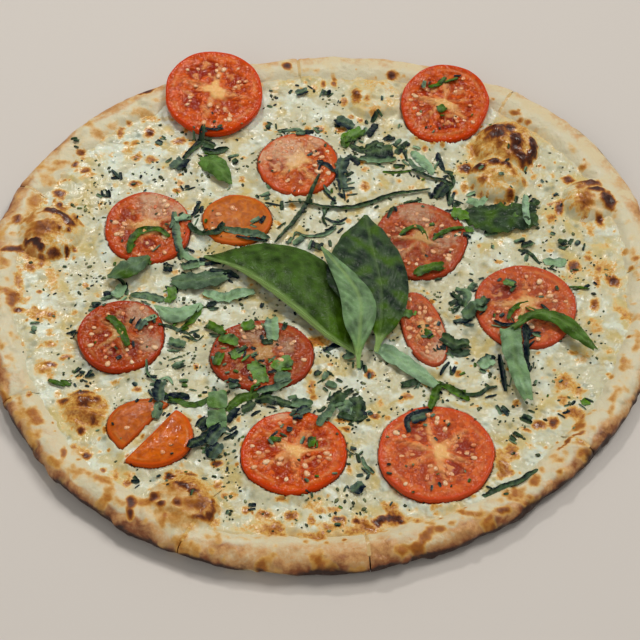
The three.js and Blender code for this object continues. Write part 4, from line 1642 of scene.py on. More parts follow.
@dataclass
class DoughSlices:
    """The eight slices of dough: floor, risen rim, rounded edge, foot and underside."""

    ground: Ground
    cell: float = 1.0
    floor_rings: tuple[float, ...] = (40.0, 80.0, 120.0, 140.0)
    foot_rows: int = 14
    crease: float = 55.0
    under_rings: tuple[float, ...] = (
        164.0, 160.0, 155.0, 150.0, 144.0, 138.0, 130.0, 120.0, 110.0, 95.0, 80.0, 60.0, 40.0, 20.0)

    HIDDEN = {"bake": 0.3, "char": 0.0, "toast": 0.0, "cream": 0.0}

    def displaced(self, x: Array, y: Array, z: Array, lean: Point, share: float = 1.0) -> Array:
        """A row of points made as uneven as hand-shaped dough.

        Args:
            x: Across.
            y: Away from the front.
            z: Heights.
            lean: The section's outward direction: sideways and up.
            share: How much of the unevenness there is.

        Returns:
            The points.
        """
        push = hand_shaped(x, y, z) * share
        out = push * lean[0] / np.maximum(np.hypot(x, y), 1e-6)
        return points_at(x + out * x, y + out * y, np.maximum(z + push * lean[1], 0.0))

    def values(self, points: Array, under: float = 0.0) -> dict[str, Array]:
        """How baked, browned and charred some points are.

        Args:
            points: The points.
            under: 0 over the widest line to 1 on the underside.

        Returns:
            The point values.
        """
        x, y, z = points.T
        angle, ring, rim = np.arctan2(y, x), FORM.ring(x, y), FORM.radius
        level = round_level(BAKE_ROUND, angle)
        side = smooth(rim - 9, rim - 1, ring) * smooth(FORM.crown + 1, 6.0, z)
        swell = DOUGH_NOISE.layers(24, 3, x, y + 50, z)
        bake = level * (0.1 + 0.6 * smooth(rim - 22, rim - 7, ring) + 0.62 * side) - 0.04 + 0.36 * swell
        low = smooth(11.5, 4.0, z + 1.6 * swell) * smooth(rim - 12, rim - 4, ring)
        brink = 0.5 * smooth(rim - 9, rim - 4, ring) * smooth(-0.3, 0.5, swell)
        char = round_level(CHAR_ROUND, angle) * (0.9 * low + brink)
        inset = round_level(BORDER_ROUND, angle)
        film = smooth(0.3 * inset, 0.95 * inset, rim - ring - 3.5 * swell) * (0.95 - 0.3 * level)
        if under > 0:
            bake = 0.52 + 0.5 * swell
            char = np.maximum(char * low, smooth(0.42, 0.8, DOUGH_NOISE.layers(15, 3, x + 9, y)) * 0.8)
        toast = self.ground.sample("toast", x, y)
        return {"bake": bake, "char": char, "toast": toast * (1 - under), "cream": film * (1 - under)}

    def build(self, finish: bpy.types.Material) -> list[bpy.types.Object]:
        """Makes the slices.

        Args:
            finish: The material.

        Returns:
            The objects.
        """
        made = []
        for index, (start, end) in enumerate(FORM.slice_ends(), 1):
            skin, fan = Skin(), SliceFan(start, end, FORM.cut_width / 2, self.cell)
            places = [fan.tip, *map(fan.row, self.floor_rings)]
            rows = [skin.add(points_at(x, y, FORM.floor), **self.HIDDEN) for x, y in places]
            rows += self.rim_rows(skin, fan)
            slice_solid(skin, rows, self.under_rows(skin, fan))
            made.append(skin.piece(f"crust_slice_{index}", finish, "crust", [f"dough_slice_{index}"],
                                   self.crease))
        return made

    def rim_rows(self, skin: Skin, fan: SliceFan) -> list[Array]:
        """The rows over the rim, evenly spaced along its section.

        Args:
            skin: The mesh to add to.
            fan: The slice's fan.

        Returns:
            The rows' point numbers.
        """
        section = FORM.upper()
        along = np.concatenate([[0], np.cumsum(np.hypot(*np.diff(section)))])
        rows = []
        for step in np.linspace(0, along[-1], int(along[-1] / (self.cell * 0.8)) + 1):
            ring, z = (np.interp(step, along, part) for part in section)
            ahead = [np.interp(step + 0.3, along, part) - np.interp(step - 0.3, along, part)
                     for part in section]
            x, y = fan.row(ring)
            if ring < FORM.radius - FORM.crown_inset:
                points = points_at(x, y, self.ground.sample("dough", x, y))
            else:
                lifted = z + FORM.crown_lift(ring, np.arctan2(y, x), z)
                length = math.hypot(*ahead)
                points = self.displaced(x, y, lifted, (-ahead[1] / length, ahead[0] / length))
                if ring < FORM.radius - 3:
                    points[:, 2] = np.maximum(points[:, 2], self.ground.sample("dough", x, y))
            cut = FORM.cut_distance(x, y) - FORM.cut_width / 2
            points[:, 2] -= 0.7 * np.exp(-(cut / 0.8) ** 2)
            rows.append(skin.add(points, **self.values(points)))
        return rows

    def under_rows(self, skin: Skin, fan: SliceFan) -> list[Array]:
        """The rows back in: the foot's curve, the flat underside and the tip.

        Args:
            skin: The mesh to add to.
            fan: The slice's fan.

        Returns:
            The rows' point numbers.
        """
        radii, heights = FORM.lower()
        rows = []
        for share in np.linspace(0, 1, self.foot_rows + 1)[1:]:
            pick = int(share * (len(radii) - 1))
            x, y = fan.row(radii[pick])
            uneven = float(smooth(0.0, 3.5, heights[pick]))
            points = self.displaced(x, y, np.full_like(x, heights[pick]), (0.8, -0.6), uneven)
            rows.append(skin.add(points, **self.values(points, float(share))))
        for x, y in [*map(fan.row, self.under_rings), fan.tip]:
            points = points_at(x, y, 0.0).reshape(-1, 3)
            rows.append(skin.add(points, **self.values(points, 1.0)))
        return rows


@dataclass
class CheeseSlices:
    """The eight slices of melted cheese, which meet at cuts that have nearly closed."""

    ground: Ground
    cell: float = 0.9
    edge_inset: float = 4.0
    sunk: float = 0.4
    round_over: float = 1.4
    crease: float = 60.0
    under_rings: tuple[float, ...] = (150.0, 130.0, 100.0, 60.0, 30.0)

    # One of these layers is painted shade in the creases.
    LAYERS = ("toast", "white", "stain", "crease_shade", "edge")

    def build(self, finish: bpy.types.Material) -> list[bpy.types.Object]:
        """Makes the slices.

        Args:
            finish: The material.

        Returns:
            The objects.
        """
        made = []
        for index, (start, end) in enumerate(FORM.slice_ends(), 1):
            skin, fan = Skin(), SliceFan(start, end, 0.0, self.cell)
            inner = np.arange(self.cell * 1.15, fan.inner_ring, self.cell * 1.15)
            outer = np.arange(fan.inner_ring, FORM.radius - self.edge_inset, self.cell)
            tip = tuple(np.array([part]) for part in fan.tip)
            over = [tip, *(fan.row(float(ring)) for ring in (*inner, *outer))]
            below = [over[-1], *(fan.row(ring, 4) for ring in self.under_rings), tip]
            slice_solid(skin, [self.row(skin, *place) for place in over],
                        [self.under(skin, *place) for place in below])
            made.append(skin.piece(f"melted_slice_{index}", finish, "cheese", [f"cheese_slice_{index}"],
                                   self.crease))
        return made

    def row(self, skin: Skin, x: Array, y: Array) -> Array:
        """Adds one row of the upper side.

        Args:
            skin: The mesh to add to.
            x: Across.
            y: Away from the front.

        Returns:
            The row's point numbers.
        """
        g, low = self.ground, self.round_over
        cheese, dough = g.sample("cheese", x, y), g.sample("dough", x, y)
        thick = cheese - dough
        rounded = np.where(thick > low, thick, low * np.sin(np.clip(thick / low, 0, 1) * math.pi / 2))
        z = np.where(thick > 0, dough + rounded, dough - self.sunk * smooth(0.0, -0.8, thick))
        z = np.where(g.sample("near_tomato", x, y) < -0.5, cheese, z)
        return skin.add(points_at(x, y, z), **{name: g.sample(name, x, y) for name in self.LAYERS})

    def under(self, skin: Skin, x: Array, y: Array) -> Array:
        """Adds one row of the hidden underside, as row does."""
        z = np.minimum(self.ground.sample("dough", x, y) - 0.6, 4.7)
        return skin.add(points_at(x, y, z), **dict.fromkeys(self.LAYERS, 0.0))


# ---- Basil ----


class Tone(Enum):
    """Basil's looks as (shade, warmth), each 0 to 1."""

    BLACK = (0.02, 0.3)
    DARK = (0.14, 0.6)
    # The coolest tone: its blue is partly a painted sheen.
    TEAL = (0.14, 0.0)
    GREY = (0.38, 0.34)
    OLIVE = (0.42, 0.95)
    PALE = (0.94, 0.24)
    GREEN = (0.7, 0.86)
    FRESH = (0.9, 0.94)
    LEAF = (0.33, 0.92)
    SAGE = (0.68, 0.5)


BLACK, DARK, TEAL, GREY, OLIVE, PALE, GREEN, FRESH, LEAF, SAGE = Tone


@dataclass(frozen=True)
class Strip:
    """A strip or bit of basil: its tone, width and line, and how far it stands on its edge."""

    tone: Tone
    width: float
    line: tuple[Point, ...]
    roll: float = 0.35
    lift: float = 0.0


def strip(tone: Tone, width: float, *line: float, roll: float = 0.35, lift: float = 0.0) -> Strip:
    """A strip whose line is given as x and y of one point after another."""
    return Strip(tone, width, tuple(zip(line[::2], line[1::2])), roll, lift)


def bit(tone: Tone, x: float, y: float, long: float, wide: float, turn: float = 0.0) -> Strip:
    """A short flat torn bit about its middle, its length turned by an angle."""
    dx, dy = (long / 2 * part for part in heading(turn))
    return strip(tone, wide, x - dx, y - dy, x + dx, y + dy, roll=0.1)


STRIPS: tuple[Strip, ...] = (
    # far left
    strip(DARK, 4, -66, 112, -68, 105, -73, 98, -77, 92), bit(TEAL, -79, 88, 9, 9, 60),
    strip(BLACK, 2, -67, 110.5, -61, 109.5, -55, 110.5), bit(DARK, -63, 103, 7, 5, -20),
    strip(DARK, 4.5, -66, 99, -60, 97, -52, 100), strip(OLIVE, 3, -65, 97, -60, 95),
    strip(GREY, 3.2, -24, 112, -16, 114, -10, 113), bit(BLACK, -9, 111.5, 9, 4, 10),
    strip(DARK, 2.6, -1, 77, -5, 66, -9, 56, -16, 44, -25, 31, roll=0.2, lift=1),
    strip(DARK, 2.6, -20, 59, -10, 59.5, 0, 57, 15, 56, 28, 60, 42, 66, 60, 69, roll=0.5, lift=0.6),
    strip(BLACK, 1.2, -31, 58.5, -22, 58), strip(DARK, 1.6, 4, 56, 1, 49, 3, 43, roll=0.3),
    strip(OLIVE, 4.4, -103, 21, -102, 29, -97, 36, -88, 37, -82, 32, roll=0.3),
    strip(GREY, 4.6, -80, 50, -79, 40, -77, 28, -75, 19, roll=0.3),
    strip(BLACK, 2.4, -67, 60, -69, 52, -73, 45), bit(PALE, -75, 45, 9, 4, 20),
    strip(DARK, 4, -72, 41, -65, 36, -56, 36, -53, 42),
    strip(GREY, 4.2, -54, 38, -45, 36, -37, 34.5, -28, 33.5, roll=0.4),
    strip(BLACK, 2, -46, 33, -38, 31, -29, 32), strip(GREY, 3.2, -33, 46, -38, 42, roll=0.2),
    strip(PALE, 4, -76, 25, -70, 20, -62, 17), bit(GREY, -70, 15, 9, 6, 20),
    bit(BLACK, -58, 17, 9, 3, 10), strip(BLACK, 4, -60, 12, -50, 10, -44, 6, roll=0.2),
    bit(GREY, -56, 6, 8, 5, -30), bit(PALE, -71, 8, 6, 4, 40), bit(BLACK, -82, 12, 5, 3),
    strip(DARK, 2, -110, 8, -106, 4, -103, -2), strip(OLIVE, 5, -104, 12, -97, 15, -91, 14),
    strip(BLACK, 1.6, -121, 69, -120, 65, -117, 64), bit(TEAL, -114, 81, 7, 2, -50),
    bit(TEAL, -91, 105, 5, 3, -30), bit(DARK, -48, 90, 3, 4, 40), bit(GREY, -31, 65, 6, 3, 30),
    bit(TEAL, -11, 143, 7, 5, 20), bit(DARK, -137, 103, 3, 2), bit(DARK, -30, 117, 3, 4),
    strip(GREY, 2.4, -14, 39, -6, 36, 3, 38, 8, 43, roll=0.4), strip(BLACK, 2, 2, 49, 8, 46, 14, 49),
    bit(GREY, -12, 33, 8, 4, 50), bit(BLACK, -2, 28, 5, 7, 80), bit(BLACK, -74, 72, 3, 2),
    # far right
    strip(OLIVE, 2.6, 61, 141, 67, 143, 71, 148, roll=0.3), strip(OLIVE, 2.4, 70, 144, 78, 147),
    bit(OLIVE, 68, 125, 5, 5, 30), bit(OLIVE, 67, 131, 4, 1.6, 70), bit(TEAL, 13, 119, 11, 7, -30),
    bit(GREEN, 18, 110, 13, 8, 40), bit(OLIVE, 14, 105, 9, 5, 70), bit(BLACK, 29, 114, 10, 4, 65),
    strip(DARK, 5, 16, 103, 24, 99, 30, 104, 35, 103, roll=0.3), bit(DARK, 32, 98, 16, 10, 10),
    strip(GREY, 5, 21, 93, 30, 91, 42, 92, roll=0.2),
    strip(DARK, 4, 42, 96, 45, 101, 49, 105, roll=0.5), strip(BLACK, 3, 15, 95, 19, 91, 21, 88),
    strip(DARK, 2, 40, 104, 46, 98, 48, 91), strip(PALE, 6, 51, 98, 56, 91, 62, 82, roll=0.3, lift=0.6),
    strip(GREY, 3, 49, 93, 52, 86, 57, 84), strip(BLACK, 3.4, 65, 97, 66, 90, 68, 84),
    strip(OLIVE, 1.5, 34, 83, 42, 82, 50, 84), strip(DARK, 3, 50, 84, 58, 80, 65, 77, 72, 73, roll=0.4),
    bit(BLACK, 66, 68, 10, 8, 60), strip(DARK, 2.6, 70, 83, 73, 76, 70, 68, 70, 58, roll=0.4),
    bit(TEAL, 12, 86, 12, 7, 80), bit(TEAL, 11, 76, 12, 6, 100), strip(BLACK, 1.2, 12, 71, 13, 62),
    bit(TEAL, 15, 70, 7, 2, 10), strip(BLACK, 1.4, 1, 68, 8, 61),
    strip(OLIVE, 2.8, 42, 33, 47, 38, 53, 39, 57, 30, roll=0.3),
    strip(OLIVE, 2.6, 60, 30, 65, 35, 71, 38, 77, 39, roll=0.3), strip(DARK, 2, 45, 57, 50, 59, 55, 62),
    strip(OLIVE, 6, 50, 6, 57, 10, 65, 12, roll=0.2), bit(GREEN, 80, 39, 5, 4, 20),
    bit(GREY, 92, 38, 7, 3, 10), bit(PALE, 125, 18, 12, 6), strip(DARK, 2.4, 106, 27, 112, 24, 117, 16),
    bit(DARK, 111, 30, 7, 4, 30), bit(DARK, 130, 31, 5, 4), bit(TEAL, 138, 31, 4, 3, 60),
    bit(DARK, 30, 123, 6, 3, 60), bit(BLACK, 37, 108, 5, 3, 40), bit(DARK, 74, 59, 4, 3, 20),
    bit(GREY, 71, 62, 5, 3, 70), strip(DARK, 2, 36, 46, 38, 52, 40, 55), bit(DARK, 117, 60, 4, 6, 50),
    strip(PALE, 4.2, 112, 62, 111, 52, 112, 41, roll=0.2, lift=3.6),
    strip(GREEN, 6, 104, 57, 107, 44, roll=0.2, lift=2.6),
    strip(PALE, 5, 80, 61, 86, 58, 90, 62, roll=0.3, lift=2.6),
    strip(FRESH, 6.5, 71, 49, 80, 48, roll=0.2, lift=0.6),
    strip(BLACK, 3, 105, -29, 106, -42, 105, -55, roll=0.2, lift=0.2),
    strip(BLACK, 3, 92, -44, 93, -56, 94, -68, roll=0.2), bit(BLACK, 3, 143, 3, 5, 80),
    bit(GREEN, 99, -1, 6, 4), strip(BLACK, 3, -2, 86, 3, 85, 7, 80),
    # near left
    strip(OLIVE, 4.4, -112, -23, -107, -27, -103, -34, -100, -42, roll=0.2),
    bit(TEAL, -94, -28, 7, 5, 70), bit(PALE, -90, -24, 9, 3, 30), bit(PALE, -107, -3, 10, 6, 70),
    bit(BLACK, -113, -4, 5, 4), strip(GREY, 5.5, -101, -5, -92, -6, -83, -8, roll=0.15),
    strip(GREEN, 5, -80, 0, -79, -6, -81, -10, roll=0.2),
    strip(PALE, 6, -62, -4, -50, -7, -36, -4, roll=0.1),
    strip(OLIVE, 3.4, -63, -12, -66, -20, -73, -27, roll=0.5),
    strip(DARK, 2.4, -85, -27, -78, -27, -69, -31, roll=0.4), bit(GREY, -75, -38, 9, 6, -10),
    bit(BLACK, -66, -31, 2, 2), bit(BLACK, -58, -11, 5, 3, 20), bit(DARK, -65, -32, 3, 2),
    strip(OLIVE, 5.5, -60, -24, -55, -28, -51, -34, roll=0.2), bit(GREEN, -38, -29, 7, 6, 20),
    strip(PALE, 7.5, -26, -22, -26, -30, -25, -38, roll=0.15), bit(GREEN, -48, -38, 9, 6, -20),
    bit(GREEN, -44, -46, 8, 6, 40), bit(OLIVE, -53, -50, 8, 5, 70),
    strip(GREEN, 8, -36, -52, -32, -58, -30, -65, roll=0.15), bit(GREEN, -20, -53, 11, 8, 35),
    bit(DARK, -28, -39, 6, 3, -10), bit(BLACK, -32, -50, 3, 5, 70), bit(GREY, -20, -62, 8, 6, 10),
    strip(OLIVE, 5, -48, -80, -42, -73, -32, -70, roll=0.3),
    strip(DARK, 5, -34, -73, -24, -74, -13, -77, roll=0.4),
    strip(GREY, 4, -33, -70, -24, -68, -15, -63, roll=0.4),
    strip(OLIVE, 3.6, -82, -68, -74, -74, -64, -76, -57, -72, roll=0.4),
    strip(BLACK, 4, -80, -73, -74, -71, -67, -72, roll=0.3),
    strip(TEAL, 6.5, -82, -62, -83, -70, -82, -77, roll=0.3, lift=0.4), bit(GREY, -83, -82, 10, 5, 80),
    strip(PALE, 1.8, -84, -61, -79, -59, -76, -63, roll=0.4),
    strip(GREY, 1.6, -90, -50, -89, -57, -83, -63),
    strip(BLACK, 5.5, -66, -106, -59, -98, -50, -89, roll=0.3, lift=0.4),
    strip(TEAL, 6.5, -57, -101, -53, -95, -49, -91, roll=0.3, lift=0.8), bit(TEAL, -53, -105, 9, 7, 60),
    bit(BLACK, -60, -87, 8, 5, 60), strip(BLACK, 2.4, -49, -98, -44, -95, -42, -93),
    bit(BLACK, -45, -83, 10, 4, 60), strip(OLIVE, 3, -140, -61, -136, -63, -131, -65, roll=0.4),
    bit(OLIVE, -23, -100, 6, 3), bit(OLIVE, -5, -102, 6, 4, 80), bit(BLACK, -16, -94, 3, 3),
    bit(GREY, -10, -76, 10, 6, -10), bit(TEAL, -9, -82, 7, 5, 40), bit(TEAL, -12, -87, 5, 3),
    bit(DARK, -37, -78, 7, 5, 40), bit(GREY, -150, -28, 3, 4), bit(BLACK, -92, -124, 4, 2),
    bit(GREY, -74, -51, 6, 3, 20), bit(BLACK, -119, -58, 5, 2, 15), bit(BLACK, -123, -56, 3, 2),
    bit(BLACK, -128, -33, 3, 2), bit(BLACK, -119, -13, 3, 3), bit(GREY, -45, -66, 5, 4),
    bit(BLACK, -34, -137, 4, 2), bit(OLIVE, -70, -64, 3, 2),
    strip(OLIVE, 2, -36, -74, -35, -68, -31, -66),
    # near right
    strip(DARK, 2.6, 69, -3, 73, -9, 71, -15, roll=0.4),
    strip(GREY, 4.6, 71, 0, 77, -5, 75, -13, roll=0.4), bit(GREY, 80, -17, 13, 8, 25),
    bit(TEAL, 74, -23, 10, 3, 5), bit(DARK, 85, -13, 8, 5, 60), bit(DARK, 70, -10, 6, 4, 20),
    bit(GREY, 80, 0, 6, 4, 60), strip(DARK, 7, 62, -36, 69, -39, 77, -38, roll=0.2),
    bit(GREY, 72, -43, 10, 4, 5), bit(BLACK, 62, -42, 5, 4), bit(PALE, 85, -50, 8, 7, 30),
    strip(BLACK, 2, 66, -50, 63, -54, 61, -58), strip(BLACK, 4, 1, -42, 8, -38, 16, -35, roll=0.3),
    bit(GREY, 14, -46, 6, 4, 20), bit(GREY, 20, -51, 6, 3, 80), bit(DARK, 45, -63, 9, 4, 15),
    strip(OLIVE, 4.6, 60, -62, 58, -70, 55, -82, roll=0.3, lift=0.4),
    strip(OLIVE, 4, 60, -63, 67, -67, 75, -74, roll=0.4),
    strip(DARK, 2.4, 72, -70, 80, -70, 85, -66, 90, -65, roll=0.5), bit(DARK, 8, -72, 9, 7, 40),
    strip(DARK, 8, 17, -71, 18, -78, 16, -87, roll=0.2), bit(GREY, 12, -77, 8, 6, 60),
    strip(GREY, 5, 6, -76, 3, -83, -2, -92, roll=0.4), bit(DARK, 12, -84, 8, 4, -20),
    strip(BLACK, 3.6, 44, -96, 43, -89, 48, -84, 56, -82, roll=0.3), bit(TEAL, 49, -88, 8, 5, 20),
    bit(GREEN, 45, -20, 6, 5, 70), bit(OLIVE, 55, -33, 7, 4, -50),
    strip(OLIVE, 3, 97, -24, 101, -17, 109, -13, roll=0.3),
    strip(BLACK, 2.4, 90, -25, 95, -28, 101, -27),
    strip(BLACK, 3.6, 106, -27, 107, -33, 106, -39, roll=0.2),
    strip(BLACK, 3.4, 104, -46, 106, -51, 106, -56, roll=0.2), bit(BLACK, 111, -33, 6, 1.6),
    strip(OLIVE, 1.8, 131, -1, 137, 0, 142, -1),
    strip(OLIVE, 3, 107, -16, 112, -19, 119, -19, roll=0.3), bit(TEAL, 18, -127, 7, 6, 40),
    bit(TEAL, 19, -119, 3, 2), bit(TEAL, 16, -104, 3, 2), strip(GREY, 2, 20, -108, 22, -114, 26, -119),
    strip(DARK, 3.6, 79, -133, 87, -128, 97, -124, 107, -117, roll=0.3),
    bit(FRESH, 134, -75, 5, 4, -60), bit(DARK, 104, -84, 5, 3, -30), bit(TEAL, 93, -80, 6, 2, -60),
    bit(BLACK, 124, -81, 4, 1.4, 20), bit(GREY, 2, -58, 5, 3, 70), bit(DARK, -2, -57, 4, 3, 60),
    bit(GREY, 5, -64, 6, 4, -30), bit(DARK, 14, -68, 5, 3, 20), bit(DARK, 96, -97, 4, 2, -50),
)


@dataclass
class BasilStrips:
    """All the thin strips and small bits of basil, crumpled and draped over what lies under them."""

    ground: Ground
    thick: float = 0.22
    step: float = 0.75
    across: int = 6
    slivers: int = 2
    loose: int = 240
    loose_reach: float = 150.0
    veined_from: float = 4.5
    crease: float = 50.0
    seed: int = 11

    def build(self, finish: bpy.types.Material) -> list[bpy.types.Object]:
        """Makes the placed strips with slivers beside them, and a scatter of loose small bits.

        Args:
            finish: The material.

        Returns:
            The two objects.
        """
        self.rng = rng = np.random.default_rng(self.seed)
        self.noise = Noise(self.seed + 1)
        placed, loose = Skin(), Skin()
        for long in STRIPS:
            self.drape(placed, long)
            for _ in range(self.slivers):
                self.drape(loose, self.sliver(long))
        for _ in range(self.loose):
            x, y = anywhere(rng, self.loose_reach)
            tone, size = rng.choice([DARK, GREY, BLACK, TEAL, OLIVE]), rng.uniform(1.4, 3.2)
            self.drape(loose, bit(tone, x, y, size, size * rng.uniform(0.35, 0.7), rng.uniform(0, 180)))
        return [placed.piece("basil_strips", finish, "basil", crease=self.crease),
                loose.piece("basil_bits", finish, "basil", crease=self.crease)]

    def sliver(self, beside: Strip) -> Strip:
        """A small shred beside a strip.

        Args:
            beside: The strip.

        Returns:
            The shred.
        """
        rng = self.rng
        (x0, y0), (x1, y1) = beside.line[0], beside.line[-1]
        share, turn = rng.uniform(0, 1), math.degrees(math.atan2(y1 - y0, x1 - x0)) + rng.normal(0, 40)
        off = beside.width * 0.5 + rng.uniform(0.2, 3.2)
        way = math.radians(turn) + math.copysign(math.pi / 2, rng.uniform(-1, 1))
        size, tone = rng.uniform(2.2, 6.5), rng.choice([beside.tone, DARK, BLACK, GREY])
        x, y = x0 + (x1 - x0) * share + off * math.cos(way), y0 + (y1 - y0) * share + off * math.sin(way)
        return bit(tone, x, y, size, rng.uniform(0.7, 0.34 * size + 0.7), turn)

    def drape(self, skin: Skin, laid: Strip) -> None:
        """Lays one strip down.

        Args:
            skin: The mesh to add to.
            laid: The strip.
        """
        at, width, length = self.noise.at, laid.width, length_of(laid.line)
        share = np.linspace(0, 1, max(int(length / self.step), 4) + 1)
        side = np.linspace(-1, 1, self.across)[None, :]
        line, ahead = curve_through(laid.line, share)
        key = laid.line[0][0] * 0.37 + laid.line[0][1] * 0.11
        along, bulk = share * length + key * 9.0, min(width, 7.0)
        blunt = 0.7 if length < 3.2 * width else 0.42
        taper = blunt + (1 - blunt) * np.sin(math.pi * share) ** 0.5
        left, right = (1 + 0.3 * at(3.1, along, key + way) + 0.2 * at(1.3, along, key + way)
                       for way in (3.0, 7.0))
        reach = side * np.where(side > 0, left[:, None], right[:, None]) * (width / 2 * taper)[:, None]
        roll = laid.roll * 2.0 * at(0.5, share + key, key)[:, None]
        x = line[:, :1] - ahead[:, 1:] * reach * np.cos(roll)
        y = line[:, 1:] + ahead[:, :1] * reach * np.cos(roll)
        ends = at(0.7, side + key, key)[0] * width * 0.22
        for end, way in ((0, -1), (-1, 1)):
            x[end] += way * ends * ahead[end, 0]
            y[end] += way * ends * ahead[end, 1]
        under = self.ground.sample("top", x, y)
        crumple = 0.075 * bulk * at(2.6, x + key, y) + 0.035 * bulk * at(1.2, x, y + key)
        fold = math.copysign(0.16 * width, math.sin(key * 5.0) + 0.2) * np.abs(side + 0.3 * math.sin(key))
        tips = 0.45 * bulk * np.maximum(at(0.4, share + 2 * key, key), 0) ** 2
        z = self.even(0.6 * under.max(axis=1) + 0.4 * under.mean(axis=1)) + laid.lift + 0.12 * bulk + tips
        z = z[:, None] + crumple + fold + reach * np.sin(roll) - 0.08 * width
        shade, warmth = laid.tone.value
        patchy = 0.46 * at(2.8, x + 50, y + key) + 0.24 * at(1.1, x, y + 50)
        # One side of each strip is painted lighter and the other darker: painted light and shade across it,
        # on top of its own mottle.
        tone_and_side_light = shade + (patchy + 0.44 * side * math.sin(key * 2.0)) * (0.3 + 1.2 * shade)
        warm = warmth + 0.3 * at(3.5, x + key, y + 90)
        vein = np.zeros_like(x)
        vein[:, self.across // 2] = 0.2 if width > self.veined_from else 0.0
        sheet(skin, x, y, np.maximum(z, under + 0.1), self.thick,
              shade=np.clip(tone_and_side_light, 0, 1), warmth=np.clip(warm, 0, 1), vein=vein)

    def even(self, heights: Array) -> Array:
        """Heights along a strip, bridged softly over what sticks up.

        Args:
            heights: The heights under it.

        Returns:
            The heights that it follows.
        """
        padded = np.pad(heights, 2, mode="edge")
        spans = np.stack([padded[i:i + len(heights)] for i in range(5)])
        return 0.4 * spans.max(axis=0) + 0.6 * spans.mean(axis=0)


@dataclass(frozen=True)
class Blade:
    """A leaf or large torn piece: its node, spine as in the frame, reach to each side, and its looks."""

    node: str
    spine: tuple[tuple[float, float, float], ...]
    left: tuple[float, ...]
    right: tuple[float, ...]
    drop: Point
    tone: Tone
    veins: int = 7
    ruffle: float = 0.5
    second: Tone | None = None
    rib: float = 0.8
    stem: float = 0.0
    torn: bool = False


def scrap(number: int, spine: tuple[tuple[float, float, float], ...], widths: tuple[float, ...], drop: float,
          tone: Tone, veins: int, ruffle: float, second: Tone | None = None, rib: float = 0.8) -> Blade:
    """One of the large torn pieces, which reach as far to both sides."""
    looks = (tone, veins, ruffle, second, rib)
    return Blade(f"basil_piece_{number}", spine, widths, widths, (drop, drop), *looks, torn=True)


BLADES: tuple[Blade, ...] = (
    Blade("basil_leaf_1", ((18, -44, 0), (4, -34, 3), (-20, -11, 7), (-41, 8, 5), (-63, 21, 0)),
          (1, 1.4, 2, 2.4, 2.4, 2.2, 1.6, 1, 0.4), (1.2, 6, 16, 27, 34, 33, 26, 12, 0.6), (1.5, 5.5),
          LEAF, 7, 0.6, stem=0.06),
    Blade("basil_leaf_2", ((28, -46, 0), (31, -28, 3), (31, -5, 5), (27, 20, 5), (24, 45, 2)),
          (1, 2, 8, 18, 25, 27, 22, 14, 1), (1, 3, 9, 13, 15, 15, 13, 8, 1), (3, 3),
          DARK, 7, 1, OLIVE, 0.2, 0.12),
    Blade("basil_leaf_3", ((19, -56, 0), (19, -46, 3), (20, -33, 6), (20, -18, 8), (14, -3, 8), (0, 20, 6)),
          (1, 1.2, 3, 7, 9.5, 9.5, 8, 5, 0.5), (1, 1.2, 3, 6, 8, 8, 6.5, 4, 0.5), (2, 2.5),
          SAGE, 8, 0.5, stem=0.2),
    scrap(1, ((79, 50, 0), (98, 47, 2), (117, 51, 0)), (7, 9, 10, 9, 7), 1.5, DARK, 4, 0.9, OLIVE, 0.3),
    scrap(2, ((98, -30, 0), (99, -50, 2), (105, -77, 0)), (5.5, 5.5, 5, 4.6, 2.4), 1, SAGE, 4, 0.34, PALE),
    scrap(3, ((99, -32, 0), (111, -24, 2), (126, -28, 1), (141, -46, 0)), (1.4, 2.2, 3.4, 4.4, 1.2), 1,
          OLIVE, 4, 0.3, GREEN),
    scrap(4, ((30, -40, 0), (44, -52, 1), (59, -65, 0)), (4, 4.6, 4.4, 4, 2.6), 0.5, PALE, 3, 0.3),
    scrap(5, ((-67, 91, 0), (-59, 86, 3), (-50, 73, 0)), (2.5, 5.5, 6.5, 5, 1.2), 2, GREEN, 4, 0.6),
    scrap(6, ((-53, -68, 0), (-53, -73, 0.5), (-53, -79, 0)), (4.6, 5, 5, 5, 4.6), 0.4, SAGE, 2, 0.6, GREEN),
    scrap(7, ((-53, -80, 0), (-53, -86, 0.5), (-53, -92, 0)), (4.6, 5, 5, 5, 4.6), 0.4, SAGE, 2, 0.6, GREEN),
    scrap(8, ((-88, -13, 0), (-77, -20, 2), (-63, -12, 0)), (1.4, 4, 4.5, 4, 1.4), 1, PALE, 3, 0.5),
    scrap(9, ((-80, 4, 0), (-66, 3, 2), (-50, 8, 0)), (2.4, 5, 5.5, 5, 2.4), 1, GREY, 3, 0.6),
    scrap(10, ((-113, 4, 0), (-102, 9, 2), (-92, 17, 0)), (2, 4.6, 5.5, 5, 2), 1, GREY, 3, 0.6, OLIVE),
)


